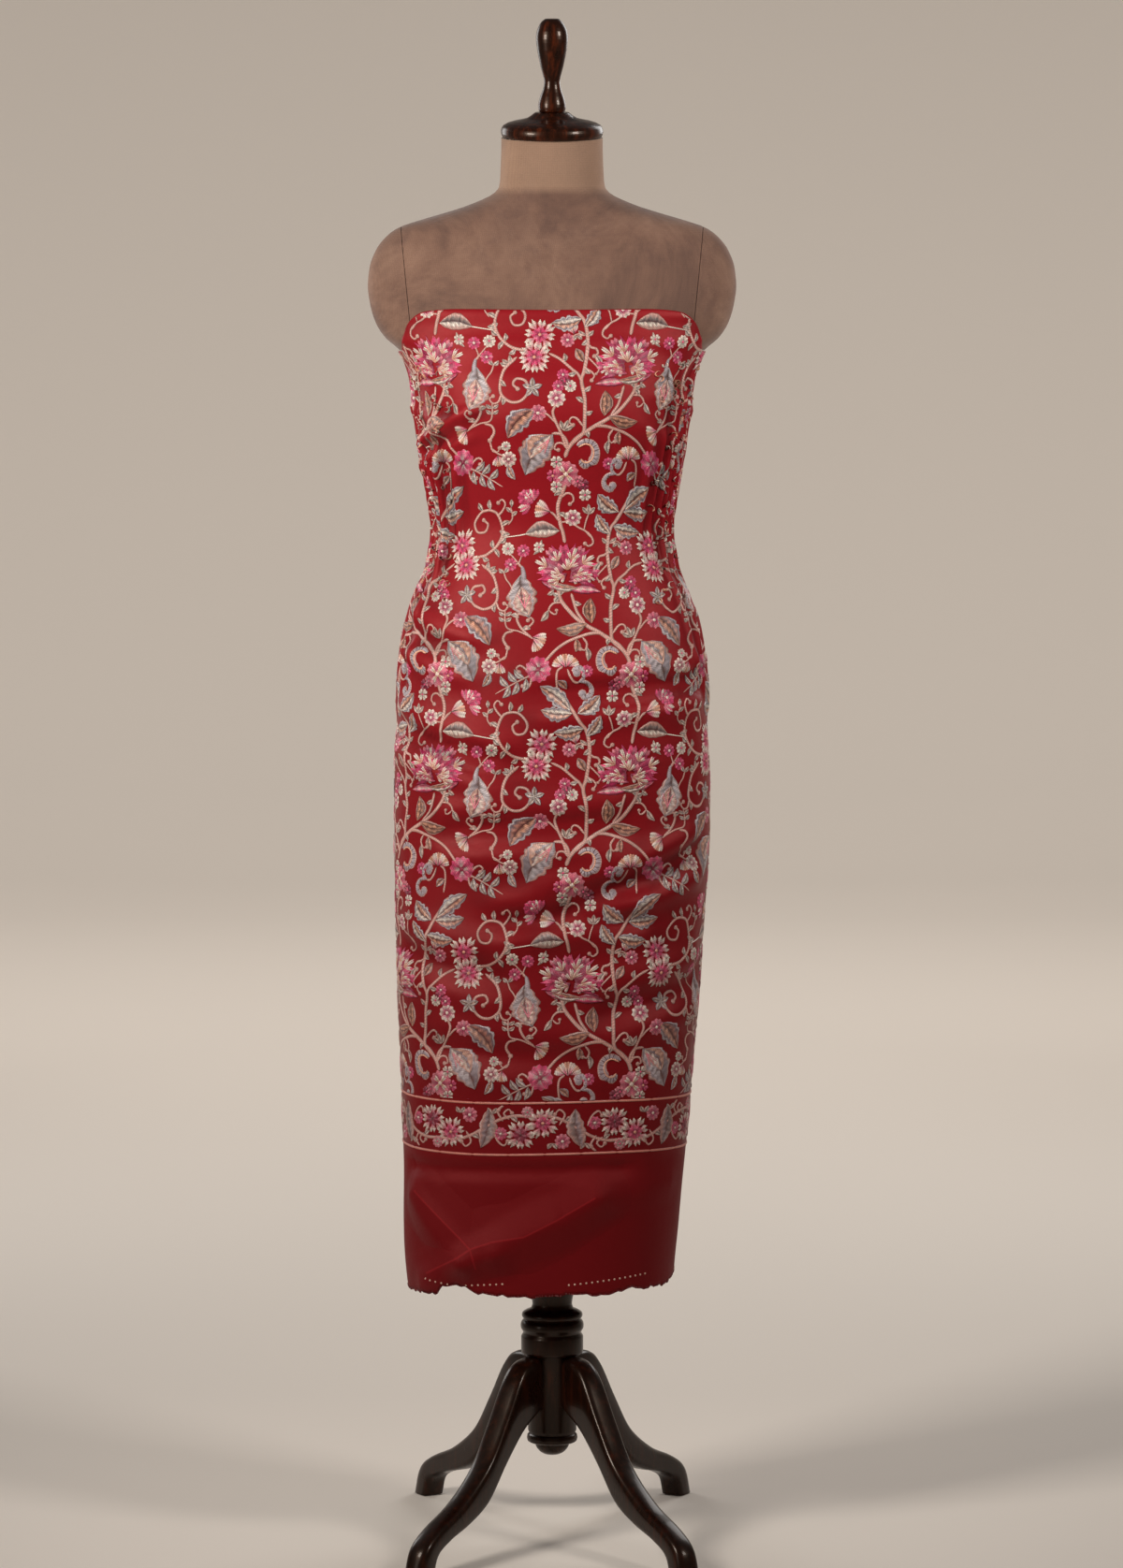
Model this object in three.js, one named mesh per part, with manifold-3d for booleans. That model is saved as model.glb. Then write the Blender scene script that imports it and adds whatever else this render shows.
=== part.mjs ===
// A length of embroidered silk wrapped as a strapless column round a dress form on a turned wooden stand.
// Millimetres, +Z up. The origin is on the floor under the stand's column, and the front faces -Y.
import * as THREE from "three";
import { mergeVertices } from "three/addons/utils/BufferGeometryUtils.js";
import Module from "manifold-3d";

const wasm = await Module();
wasm.setup();

// Driving dimensions
const SEAM = 0.3; // gap between pieces that touch
const WALL = 1.5; // thickness of the cloth's wall
const CLOTH_EASE = 3; // from the dress form's cover to the cloth's outer face over the shoulder caps
const TROUGH_CLEARANCE = 1.1; // least from the dress form's cover to the bottom of a trough in the cloth
const CAPS_BOTTOM = 1321.5; // height of the shoulder caps' lower ends
const ARMHOLE = { topX: 166, topZ: 1461, lowX: 156, lowZ: 1364 }; // the line that parts a cap from the torso
const NECK = { pivotZ: 1480, bendEnd: 1525, topZ: 1554, lean: THREE.MathUtils.degToRad(7) };
const UNDERSIDE = 694; // height of the torso's flat underside
const COLUMN_TOP = 300;
const COLUMN_SHAFT = { radius: 27, bottom: 117, top: 205 }; // the stretch that carries the legs
const LEG_WIDTH = 27;
const LEG_EDGE = 5; // rounding along a leg's edges
const LEG_ANGLE = 31.05; // degrees between a leg and the front-to-back line
const LEG_OFFSET = 9; // how far a leg's middle passes beside the column's axis, on its own side

// The dress form with its shoulder caps: half width, depth forwards and backwards from the axis, and how
// square the outline is at each height (2 is an ellipse).
const FORM = [
  { z: 694, half: 141, front: 85, back: 99, square: 2.3 },
  { z: 700, half: 153, front: 94, back: 109, square: 2.3 },
  { z: 722, half: 162, front: 101, back: 118, square: 2.3 },
  { z: 780, half: 169.5, front: 108, back: 125, square: 2.3 },
  { z: 850, half: 170.5, front: 110, back: 126, square: 2.3 },
  { z: 900, half: 168, front: 109.5, back: 122.5, square: 2.3 },
  { z: 960, half: 165, front: 106, back: 113.5, square: 2.3 },
  { z: 1010, half: 158.5, front: 100, back: 104.5, square: 2.3 },
  { z: 1050, half: 147.5, front: 95, back: 97.5, square: 2.25 },
  { z: 1085, half: 130.5, front: 91, back: 92.5, square: 2.2 },
  { z: 1124, half: 122.5, front: 89, back: 90, square: 2.2 },
  { z: 1170, half: 128.5, front: 97, back: 91, square: 2.25 },
  { z: 1215, half: 136, front: 110, back: 94.5, square: 2.35 },
  { z: 1255, half: 142, front: 119, back: 98.5, square: 2.4 },
  { z: 1290, half: 150, front: 114, back: 102, square: 2.4 },
  { z: 1308, half: 157, front: 106, back: 103, square: 2.35 },
  { z: 1322, half: 168, front: 101.5, back: 103, square: 2.25 },
  { z: 1336, half: 184, front: 98, back: 102, square: 2.15 },
  { z: 1352, half: 194, front: 94.5, back: 101.5, square: 2.1 },
  { z: 1372, half: 200, front: 89.5, back: 100.5, square: 2.1 },
  { z: 1392, half: 202.5, front: 84, back: 99, square: 2.1 },
  { z: 1412, half: 200.5, front: 78, back: 96, square: 2.1 },
  { z: 1432, half: 193, front: 71, back: 91, square: 2.1 },
  { z: 1446, half: 182, front: 65.5, back: 85, square: 2.15 },
  { z: 1456, half: 168, front: 61, back: 79, square: 2.2 },
  { z: 1463, half: 148, front: 57.5, back: 73, square: 2.2 },
  { z: 1470, half: 124, front: 55.5, back: 68, square: 2.15 },
  { z: 1478, half: 98, front: 54, back: 62, square: 2.1 },
  { z: 1486, half: 76, front: 53, back: 57.5, square: 2.05 },
  { z: 1495, half: 63, front: 52.5, back: 54, square: 2 },
  { z: 1508, half: 57.5, front: 51.5, back: 52, square: 2 },
  { z: 1554, half: 55.5, front: 50.5, back: 50.5, square: 2 },
];

// The cloth's outer face up to the underarm. Over the caps it follows the form.
const CLOTH = [
  { z: 255, half: 145, front: 105.5, back: 111.5, square: 2.35 },
  { z: 300, half: 149, front: 106.5, back: 113, square: 2.35 },
  { z: 360, half: 153, front: 108, back: 115, square: 2.35 },
  { z: 430, half: 156.5, front: 109, back: 117, square: 2.35 },
  { z: 500, half: 160.5, front: 110, back: 119, square: 2.35 },
  { z: 600, half: 166.5, front: 111.5, back: 122.5, square: 2.3 },
  { z: 700, half: 171, front: 112.5, back: 127, square: 2.3 },
  { z: 800, half: 174.5, front: 113.5, back: 130, square: 2.3 },
  { z: 860, half: 174, front: 113.5, back: 129.5, square: 2.3 },
  { z: 900, half: 171.5, front: 113, back: 126, square: 2.3 },
  { z: 960, half: 168.5, front: 109.5, back: 117, square: 2.3 },
  { z: 1010, half: 162, front: 103.5, back: 108, square: 2.3 },
  { z: 1050, half: 151, front: 98.5, back: 101, square: 2.25 },
  { z: 1085, half: 134, front: 94.5, back: 96, square: 2.2 },
  { z: 1124, half: 126, front: 92.5, back: 93.5, square: 2.2 },
  { z: 1170, half: 132, front: 100.5, back: 94.5, square: 2.25 },
  { z: 1215, half: 139.5, front: 113.5, back: 98, square: 2.35 },
  { z: 1255, half: 145, front: 121.5, back: 102, square: 2.4 },
  { z: 1290, half: 153.5, front: 116.5, back: 105, square: 2.4 },
  { z: 1308, half: 162, front: 109, back: 106, square: 2.35 },
  { z: 1322, half: 171.5, front: 104.5, back: 106, square: 2.25 },
  ...FORM.filter((row) => row.z > 1330 && row.z < 1400).map((row) => ({
    z: row.z,
    half: row.half + CLOTH_EASE,
    front: row.front + CLOTH_EASE,
    back: row.back + CLOTH_EASE,
    square: row.square,
  })),
];

// The cloth's upper and lower edges by the angle round from the centre front, in degrees. Positive is +X.
const TOP_EDGE = [
  { angle: -180, z: 1350 },
  { angle: -140, z: 1350 },
  { angle: -128, z: 1342 },
  { angle: -118, z: 1328 },
  { angle: -104, z: 1320 },
  { angle: -78, z: 1320 },
  { angle: -66, z: 1327 },
  { angle: -59, z: 1337 },
  { angle: -51, z: 1353 },
  { angle: -42, z: 1363.5 },
  { angle: -30, z: 1366 },
  { angle: 0, z: 1365 },
  { angle: 30, z: 1366 },
  { angle: 42, z: 1363.5 },
  { angle: 51, z: 1353 },
  { angle: 59, z: 1337 },
  { angle: 66, z: 1327 },
  { angle: 78, z: 1320 },
  { angle: 104, z: 1320 },
  { angle: 118, z: 1328 },
  { angle: 128, z: 1342 },
  { angle: 140, z: 1350 },
  { angle: 180, z: 1350 },
];
const HEM = [
  { angle: -180, z: 286 },
  { angle: -120, z: 287 },
  { angle: -88, z: 283 },
  { angle: -66, z: 284 },
  { angle: -52, z: 286 },
  { angle: -44, z: 291 },
  { angle: -36, z: 296 },
  { angle: -28, z: 293 },
  { angle: -18, z: 290 },
  { angle: 0, z: 288 },
  { angle: 28, z: 289 },
  { angle: 50, z: 290 },
  { angle: 66, z: 291 },
  { angle: 76, z: 296 },
  { angle: 88, z: 301 },
  { angle: 110, z: 295 },
  { angle: 140, z: 289 },
  { angle: 180, z: 286 },
];
// The cloth hangs a little to the viewer's left of the stand below the hips.
const DRIFT = [
  { z: 255, x: -13.5 },
  { z: 310, x: -13.5 },
  { z: 360, x: -12 },
  { z: 430, x: -8.5 },
  { z: 500, x: -6.5 },
  { z: 600, x: -4.5 },
  { z: 700, x: -2.5 },
  { z: 800, x: 0 },
];

// Gathers at each side of the waist, where the cloth is drawn in: upright ridges that fade at both ends.
const GATHERS = { low: 1050, high: 1296, height: 3.2, width: 3.4 };
const GATHER_ANGLES = [-109, -99, -90, -80, -70, -60, 58, 68, 77, 87, 96, 106];
// Soft folds that the cloth drags across the hips and thighs, and the pressed creases of its plain end. A
// negative height is a trough.
const FOLDS = [
  { fromAngle: -72, fromZ: 1231, toAngle: -38, toZ: 1258, height: 4, width: 9 },
  { fromAngle: -74, fromZ: 1208, toAngle: -50, toZ: 1214, height: -3, width: 10 },
  { fromAngle: 40, fromZ: 1236, toAngle: 72, toZ: 1216, height: 2.5, width: 10 },
  { fromAngle: -68, fromZ: 1010, toAngle: -38, toZ: 992, height: -3, width: 14 },
  { fromAngle: 8, fromZ: 944, toAngle: 62, toZ: 956, height: -4, width: 15 },
  { fromAngle: -70, fromZ: 905, toAngle: -22, toZ: 874, height: -3.5, width: 16 },
  { fromAngle: -30, fromZ: 792, toAngle: 12, toZ: 800, height: -3.5, width: 18 },
  { fromAngle: 10, fromZ: 728, toAngle: 58, toZ: 768, height: -4.5, width: 16 },
  { fromAngle: -6, fromZ: 704, toAngle: 26, toZ: 706, height: -3, width: 14 },
  { fromAngle: -60, fromZ: 660, toAngle: -20, toZ: 640, height: -3, width: 20 },
  { fromAngle: 24, fromZ: 604, toAngle: 66, toZ: 628, height: -3, width: 20 },
  { fromAngle: -64, fromZ: 384, toAngle: -27, toZ: 322, height: 3.5, width: 9 },
  { fromAngle: -52, fromZ: 292, toAngle: -27, toZ: 322, height: 3.5, width: 9 },
  { fromAngle: -27, fromZ: 322, toAngle: 16, toZ: 390, height: 3.5, width: 10 },
  { fromAngle: 140, fromZ: 900, toAngle: 188, toZ: 876, height: -3.5, width: 18 },
  { fromAngle: 176, fromZ: 760, toAngle: 232, toZ: 786, height: -3.5, width: 18 },
  { fromAngle: 128, fromZ: 600, toAngle: 172, toZ: 640, height: -3, width: 20 },
  { fromAngle: 196, fromZ: 330, toAngle: 236, toZ: 372, height: 3, width: 12 },
];

// The two ends of the cloth lap at the centre back, more at the waist than at the hips: degrees past the
// centre.
const LAP = { hips: 18, more: 15, waistZ: 1124, reach: 110, gap: 0.5, easeFrom: 122, easeTo: 142 };
const FRONT_EDGE = 97; // degrees from the centre front to where the front stretch passes to the back

// Turned parts: radius and height of each point of the outline.
const COLUMN = [
  { r: 0, z: 90.5 },
  { r: 9, z: 91.7 },
  { r: 15, z: 95.6 },
  { r: 18.6, z: 101 },
  { r: 19.2, z: 105 },
  { r: 25.5, z: 105.6 },
  { r: 28.2, z: 108.6 },
  { r: 28.2, z: 112.4 },
  { r: 25.5, z: 115.4 },
  { r: COLUMN_SHAFT.radius, z: COLUMN_SHAFT.bottom },
  { r: COLUMN_SHAFT.radius, z: COLUMN_SHAFT.top },
  { r: 33, z: COLUMN_SHAFT.top },
  { r: 34.5, z: 212 },
  { r: 34.5, z: 225.6 },
  { r: 31.5, z: 229.1 },
  { r: 34.4, z: 233.4 },
  { r: 35.2, z: 237.4 },
  { r: 34.3, z: 241.2 },
  { r: 31.3, z: 244.4 },
  { r: 33.8, z: 248.6 },
  { r: 33.2, z: 251.4 },
  { r: 28.5, z: 254.6 },
  { r: 23.2, z: 256.4 },
  { r: 22.1, z: 262 },
  { r: 23.7, z: 269 },
  { r: 25.6, z: 280 },
  { r: 25, z: 294 },
  { r: 22.5, z: COLUMN_TOP },
  { r: 0, z: COLUMN_TOP },
];
const POLE = { radius: 16, plate: 58, plateHeight: 8, pin: 9, pinRise: 40 }; // the form turns on the pin
// Heights of the neck's wooden cap and of the finial's outline are above the neck's top.
const NECK_CAP = [
  { r: 0, z: 0 },
  { r: 53.6, z: 0 },
  { r: 55.4, z: 3.4 },
  { r: 56, z: 7.6 },
  { r: 54.4, z: 12.6 },
  { r: 47, z: 18.4 },
  { r: 31, z: 21.6 },
  { r: 23.5, z: 24 },
  { r: 18.5, z: 27.4 },
  { r: 0, z: 27.4 },
];
const FINIAL = [
  { r: 0, z: 0 },
  { r: 13.2, z: 0 },
  { r: 15, z: 5 },
  { r: 15, z: 9.5 },
  { r: 12.8, z: 17.5 },
  { r: 9.7, z: 26 },
  { r: 8.7, z: 34 },
  { r: 10.6, z: 42.5 },
  { r: 12.9, z: 51 },
  { r: 14.7, z: 59.5 },
  { r: 16.3, z: 67.7 },
  { r: 17.3, z: 76 },
  { r: 17.3, z: 84.2 },
  { r: 14.9, z: 92.5 },
  { r: 10.8, z: 98.6 },
  { r: 7.5, z: 101.4 },
  { r: 0, z: 101.4 },
];

// A leg's side view, from the column outwards to the toe: distance from the column's axis and height, along
// its upper edge and along its lower edge.
const LEG = [
  { r: 8, z: 204.7, lowR: 8, lowZ: 153 },
  { r: 48, z: 203, lowR: 44, lowZ: 138 },
  { r: 71, z: 188, lowR: 70, lowZ: 124 },
  { r: 101, z: 147, lowR: 104, lowZ: 95 },
  { r: 138, z: 102, lowR: 140, lowZ: 60 },
  { r: 190, z: 69, lowR: 176, lowZ: 44 },
  { r: 240, z: 49, lowR: 214, lowZ: 34 },
  { r: 267, z: 31, lowR: 241, lowZ: 22 },
  { r: 279, z: 0, lowR: 251, lowZ: 0 },
];

const WOOD = new THREE.MeshStandardMaterial({ color: 0x24130c, roughness: 0.25, metalness: 0 });
const STEEL = new THREE.MeshStandardMaterial({ color: 0x2b2a29, roughness: 0.45, metalness: 0.7 });
const COVER = new THREE.MeshStandardMaterial({ color: 0x8d7463, roughness: 0.9, metalness: 0 });
const SILK = new THREE.MeshStandardMaterial({ color: 0x9c1f2a, roughness: 0.5, metalness: 0 });

const radians = THREE.MathUtils.degToRad;

// A smooth value of one column of a table at a given place, on cubic pieces through its rows.
function valueAt(table, key, column, place) {
  const last = table.length - 1;
  const clamped = THREE.MathUtils.clamp(place, table[0][key], table[last][key]);
  let i = 0;
  while (i < last - 1 && table[i + 1][key] < clamped) i += 1;
  const slope = (k) => {
    if (k === 0 || k === last) return 0;
    const before = (table[k][column] - table[k - 1][column]) / (table[k][key] - table[k - 1][key]);
    const after = (table[k + 1][column] - table[k][column]) / (table[k + 1][key] - table[k][key]);
    if (before * after <= 0) return 0;
    return (2 * before * after) / (before + after);
  };
  const span = table[i + 1][key] - table[i][key];
  const t = (clamped - table[i][key]) / span;
  const rest = 1 - t;
  return (
    table[i][column] * rest * rest * (1 + 2 * t) +
    table[i + 1][column] * t * t * (3 - 2 * t) +
    span * t * rest * (slope(i) * rest - slope(i + 1) * t)
  );
}

// A point of a rounded outline at an angle from the centre front, in degrees.
function outlinePoint(table, angle, z) {
  const [half, front, back, square] = ["half", "front", "back", "square"].map((name) =>
    valueAt(table, "z", name, z),
  );
  const side = Math.sin(radians(angle));
  const ahead = Math.cos(radians(angle));
  const power = 2 / square;
  const depth = ahead > 0 ? front : back;
  return new THREE.Vector3(
    half * Math.sign(side) * Math.abs(side) ** power,
    -depth * Math.sign(ahead) * Math.abs(ahead) ** power,
    z,
  );
}

// The outline's level normal at an angle, pointing outwards.
function outlineNormal(table, angle, z) {
  const step = 1;
  const along = outlinePoint(table, angle + step, z).sub(outlinePoint(table, angle - step, z));
  return new THREE.Vector3(along.y, -along.x, 0).normalize();
}

function geometryOf(points, faces) {
  const geometry = new THREE.BufferGeometry();
  geometry.setAttribute("position", new THREE.Float32BufferAttribute(points.flatMap((p) => p.toArray()), 3));
  geometry.setIndex(faces.flat());
  return geometry;
}

// A closed body through level rings of equal count, counted anticlockwise from above, lowest ring first.
function bodyThroughRings(rings) {
  const count = rings[0].length;
  const points = rings.flat();
  const faces = [];
  for (let row = 0; row < rings.length - 1; row += 1) {
    for (let i = 0; i < count; i += 1) {
      const a = row * count + i;
      const b = row * count + ((i + 1) % count);
      faces.push([a, b, b + count], [a, b + count, a + count]);
    }
  }
  const centre = (ring) => ring.reduce((sum, p) => sum.add(p), new THREE.Vector3()).divideScalar(count);
  const low = points.push(centre(rings[0])) - 1;
  const high = points.push(centre(rings[rings.length - 1])) - 1;
  const top = (rings.length - 1) * count;
  for (let i = 0; i < count; i += 1) {
    const next = (i + 1) % count;
    faces.push([low, next, i], [high, top + i, top + next]);
  }
  return geometryOf(points, faces);
}

// A closed wall over a grid of columns and rows. outer and inner give its two faces at a column and row.
function wallOverGrid(columns, rows, outer, inner) {
  const points = [];
  const index = (layer, c, r) => (layer * columns + c) * rows + r;
  for (const face of [outer, inner]) {
    for (let c = 0; c < columns; c += 1) for (let r = 0; r < rows; r += 1) points.push(face(c, r));
  }
  const faces = [];
  const quad = (a, b, c, d) => faces.push([a, b, c], [a, c, d]);
  for (let c = 0; c < columns - 1; c += 1) {
    for (let r = 0; r < rows - 1; r += 1) {
      quad(index(0, c, r), index(0, c + 1, r), index(0, c + 1, r + 1), index(0, c, r + 1));
      quad(index(1, c, r), index(1, c, r + 1), index(1, c + 1, r + 1), index(1, c + 1, r));
    }
    quad(index(0, c, 0), index(1, c, 0), index(1, c + 1, 0), index(0, c + 1, 0));
    quad(index(0, c, rows - 1), index(0, c + 1, rows - 1), index(1, c + 1, rows - 1), index(1, c, rows - 1));
  }
  for (let r = 0; r < rows - 1; r += 1) {
    quad(index(0, 0, r), index(0, 0, r + 1), index(1, 0, r + 1), index(1, 0, r));
    const end = columns - 1;
    quad(index(0, end, r), index(1, end, r), index(1, end, r + 1), index(0, end, r + 1));
  }
  return geometryOf(points, faces);
}

// Booleans
function solidOf(geometry) {
  const bare = geometry.clone();
  bare.deleteAttribute("normal");
  bare.deleteAttribute("uv");
  const merged = mergeVertices(bare, 1e-3);
  const corners = Array.from(merged.index.array);
  const triangles = Array.from({ length: corners.length / 3 }, (_, i) => corners.slice(3 * i, 3 * i + 3));
  const real = triangles.filter(([a, b, c]) => a !== b && b !== c && c !== a);
  return new wasm.Manifold(
    new wasm.Mesh({
      numProp: 3,
      vertProperties: new Float32Array(merged.attributes.position.array),
      triVerts: new Uint32Array(real.flat()),
    }),
  );
}
function geometryOfSolid(solid) {
  const mesh = solid.getMesh();
  const geometry = new THREE.BufferGeometry();
  geometry.setAttribute("position", new THREE.BufferAttribute(new Float32Array(mesh.vertProperties), 3));
  geometry.setIndex(new THREE.BufferAttribute(new Uint32Array(mesh.triVerts), 1));
  return geometry;
}

// A body turned on a lathe, standing along +Z.
function turned(profile, segments) {
  const outline = profile.map(({ r, z }) => new THREE.Vector2(r, z));
  return new THREE.LatheGeometry(outline, segments).rotateX(Math.PI / 2);
}

function namedMesh(name, geometry, material) {
  const mesh = new THREE.Mesh(geometry, material);
  mesh.name = name;
  return mesh;
}

// The dress form: a padded torso with its neck, parted from two shoulder caps along the armhole seams.
// The neck leans forwards above the shoulders.
function leanNeck(point) {
  const share = THREE.MathUtils.smoothstep(point.z, NECK.pivotZ, NECK.bendEnd);
  const turn = NECK.lean * share;
  const rise = point.z - NECK.pivotZ;
  return new THREE.Vector3(
    point.x,
    point.y * Math.cos(turn) - rise * Math.sin(turn),
    NECK.pivotZ + point.y * Math.sin(turn) + rise * Math.cos(turn),
  );
}
function formRings(segments) {
  const heights = FORM.flatMap((row, i) => {
    const next = FORM[i + 1];
    return next && next.z - row.z > 38 ? [row.z, (row.z + next.z) / 2] : [row.z];
  });
  return heights.map((z) =>
    Array.from({ length: segments }, (_, i) => {
      const point = outlinePoint(FORM, (360 * i) / segments, z);
      return z > NECK.pivotZ ? leanNeck(point) : point;
    }),
  );
}
function armholeSpace(side, inset) {
  const slope = (ARMHOLE.topX - ARMHOLE.lowX) / (ARMHOLE.topZ - ARMHOLE.lowZ);
  const size = 400;
  const space = new THREE.BoxGeometry(size, size, size);
  space.translate(size / 2, 0, size / 2);
  const shear = new THREE.Matrix4().makeShear(0, 0, 0, 0, slope, 0);
  space.applyMatrix4(shear);
  const xAtBottom = ARMHOLE.lowX + slope * (CAPS_BOTTOM - ARMHOLE.lowZ);
  space.translate(xAtBottom + inset, 0, CAPS_BOTTOM + inset);
  if (side < 0) space.rotateZ(Math.PI);
  return solidOf(space);
}
function dressForm() {
  const whole = solidOf(bodyThroughRings(formRings(30)));
  const half = SEAM / 2;
  const boreRadius = POLE.pin + 2 * SEAM;
  const bore = new THREE.CylinderGeometry(boreRadius, boreRadius, 2 * (POLE.pinRise + SEAM), 20);
  bore.rotateX(Math.PI / 2).translate(0, 0, UNDERSIDE);
  const torso = whole
    .subtract(armholeSpace(1, -half))
    .subtract(armholeSpace(-1, -half))
    .subtract(solidOf(bore));
  const group = new THREE.Group();
  group.add(namedMesh("torso", geometryOfSolid(torso), COVER));
  for (const [name, side] of [["shoulder_cap_left", -1], ["shoulder_cap_right", 1]]) {
    const cap = whole.intersect(armholeSpace(side, half));
    group.add(namedMesh(name, geometryOfSolid(cap), COVER));
  }
  return group;
}

// The neck's turned cap and the finial screwed into it stand on the leaning neck's top.
function neckTop() {
  const group = new THREE.Group();
  const seat = leanNeck(new THREE.Vector3(0, 0, NECK.topZ + SEAM));
  group.position.copy(seat);
  group.rotation.x = NECK.lean;
  group.add(namedMesh("neck_cap", turned(NECK_CAP, 24), WOOD));
  const finial = namedMesh("finial", turned(FINIAL, 16), WOOD);
  finial.position.z = NECK_CAP[NECK_CAP.length - 1].z + SEAM;
  group.add(finial);
  return group;
}

// The stand: a turned column, a pole up to the torso's underside, and four curved legs let into the column.
function legSection(low, high) {
  const side = LEG_WIDTH / 2;
  const height = high.distanceTo(low);
  const half = [
    { side: side - LEG_EDGE, up: 0 },
    { side, up: LEG_EDGE },
    { side, up: height - 1.5 * LEG_EDGE },
    { side: side - 0.5 * LEG_EDGE, up: height - 0.5 * LEG_EDGE },
    { side: side - 1.6 * LEG_EDGE, up: height },
  ];
  const whole = [...half, ...half.map((row) => ({ side: -row.side, up: row.up })).reverse()];
  return whole.map((row) => {
    const spot = low.clone().lerp(high, row.up / height);
    return new THREE.Vector3(spot.x, row.side, spot.y);
  });
}
function legs() {
  const edge = (r, z) => {
    const corners = LEG.map((row) => new THREE.Vector2(row[r], row[z]));
    return new THREE.SplineCurve(corners).getPoints(18);
  };
  const upper = edge("r", "z");
  const lower = edge("lowR", "lowZ");
  const swept = bodyThroughRings(upper.map((high, i) => legSection(lower[i], high)));
  const socket = turned(
    COLUMN.map(({ r, z }) => ({ r: r === 0 ? 0 : r + SEAM, z })),
    20,
  );
  const group = new THREE.Group();
  const places = [
    { name: "leg_front_left", turn: -90 - LEG_ANGLE, aside: -LEG_OFFSET },
    { name: "leg_front_right", turn: -90 + LEG_ANGLE, aside: LEG_OFFSET },
    { name: "leg_back_right", turn: 90 - LEG_ANGLE, aside: -LEG_OFFSET },
    { name: "leg_back_left", turn: 90 + LEG_ANGLE, aside: LEG_OFFSET },
  ];
  for (const { name, turn, aside } of places) {
    const leg = solidOf(swept.clone().translate(0, aside, 0)).subtract(solidOf(socket));
    const geometry = geometryOfSolid(leg).rotateZ(radians(turn));
    group.add(namedMesh(name, geometry, WOOD));
  }
  return group;
}
function stand() {
  const group = new THREE.Group();
  group.add(namedMesh("column", turned(COLUMN, 20), WOOD));
  const bottom = COLUMN_TOP + SEAM;
  const top = UNDERSIDE - SEAM;
  const outline = [
    { r: 0, z: bottom },
    { r: POLE.radius, z: bottom },
    { r: POLE.radius, z: top - POLE.plateHeight },
    { r: POLE.plate, z: top - POLE.plateHeight },
    { r: POLE.plate, z: top },
    { r: POLE.pin, z: top },
    { r: POLE.pin, z: top + POLE.pinRise },
    { r: 0, z: top + POLE.pinRise },
  ];
  group.add(namedMesh("pole", turned(outline, 20), STEEL));
  group.add(legs());
  return group;
}

// The cloth: how far its folds stand out at an angle and a height.
function bell(distance, width) {
  return Math.exp(-((distance / width) ** 2));
}
function gatherHeight(angle, z) {
  const middle = (GATHERS.low + GATHERS.high) / 2;
  const reach = (GATHERS.high - GATHERS.low) / 2;
  const fade = THREE.MathUtils.smoothstep(reach - Math.abs(z - middle), 0, reach * 0.7);
  const ridges = GATHER_ANGLES.reduce((sum, at) => sum + bell(angle - at, GATHERS.width), 0);
  return GATHERS.height * fade * ridges;
}
function foldHeight(fold, angle, z) {
  const reach = 145; // millimetres round the outline for a radian, to measure angles and heights alike
  const start = new THREE.Vector2(radians(fold.fromAngle) * reach, fold.fromZ);
  const along = new THREE.Vector2(radians(fold.toAngle) * reach, fold.toZ).sub(start);
  const length = along.length();
  along.divideScalar(length);
  const from = new THREE.Vector2(radians(angle) * reach, z).sub(start);
  const travelled = from.dot(along);
  const beyond = Math.max(0, -travelled, travelled - length);
  return fold.height * bell(from.cross(along), fold.width) * bell(beyond, 22);
}
function foldsAt(angle, z) {
  const round = angle < -112 ? angle + 360 : angle; // folds on the back are given from 112 to 248 degrees
  return FOLDS.reduce((sum, fold) => sum + foldHeight(fold, round, z), gatherHeight(angle, z));
}
function clothPoint(angle, z, outwards) {
  const folded = ((angle + 540) % 360) - 180;
  const point = outlinePoint(CLOTH, angle, z);
  point.x += valueAt(DRIFT, "z", "x", z);
  const [clothHalf, formHalf] = [CLOTH, FORM].map((table) => valueAt(table, "z", "half", z));
  const room = z > UNDERSIDE - 20 ? clothHalf - WALL - formHalf : 50;
  const least = Math.min(0, TROUGH_CLEARANCE - room); // a trough stops here, clear of the form's cover
  const height = Math.max(foldsAt(folded, z), least);
  return point.addScaledVector(outlineNormal(CLOTH, angle, z), height + outwards);
}
function lapDegrees(z) {
  return LAP.hips + LAP.more * bell(z - LAP.waistZ, LAP.reach);
}
// Heights of the rows at the centre front, closer together at the bust. Elsewhere they are spread in the same
// shares between the hem and the upper edge.
const ROW_HEIGHTS = [
  286, 308, 332, 360, 392, 434, 490, 555, 620, 668, 706, 738, 770, 804, 842, 884, 926, 968, 1008, 1042, 1072,
  1100, 1132, 1162, 1190, 1214, 1236, 1255, 1274, 1296, 1318, 1340, 1366,
];
function clothStretch(angles, columns, outwards) {
  const rows = ROW_HEIGHTS.length;
  const first = ROW_HEIGHTS[0];
  const length = ROW_HEIGHTS[rows - 1] - first;
  const place = (c, r) => {
    const share = (ROW_HEIGHTS[r] - first) / length;
    const angle = angles(c, ROW_HEIGHTS[r]);
    const round = ((angle + 540) % 360) - 180;
    const low = valueAt(HEM, "angle", "z", round);
    const high = valueAt(TOP_EDGE, "angle", "z", round);
    return { angle, z: low + share * (high - low) };
  };
  const face = (depth) => (c, r) => {
    const { angle, z } = place(c, r);
    return clothPoint(angle, z, outwards(angle) - depth);
  };
  return wallOverGrid(columns, rows, face(0), face(WALL));
}
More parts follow.
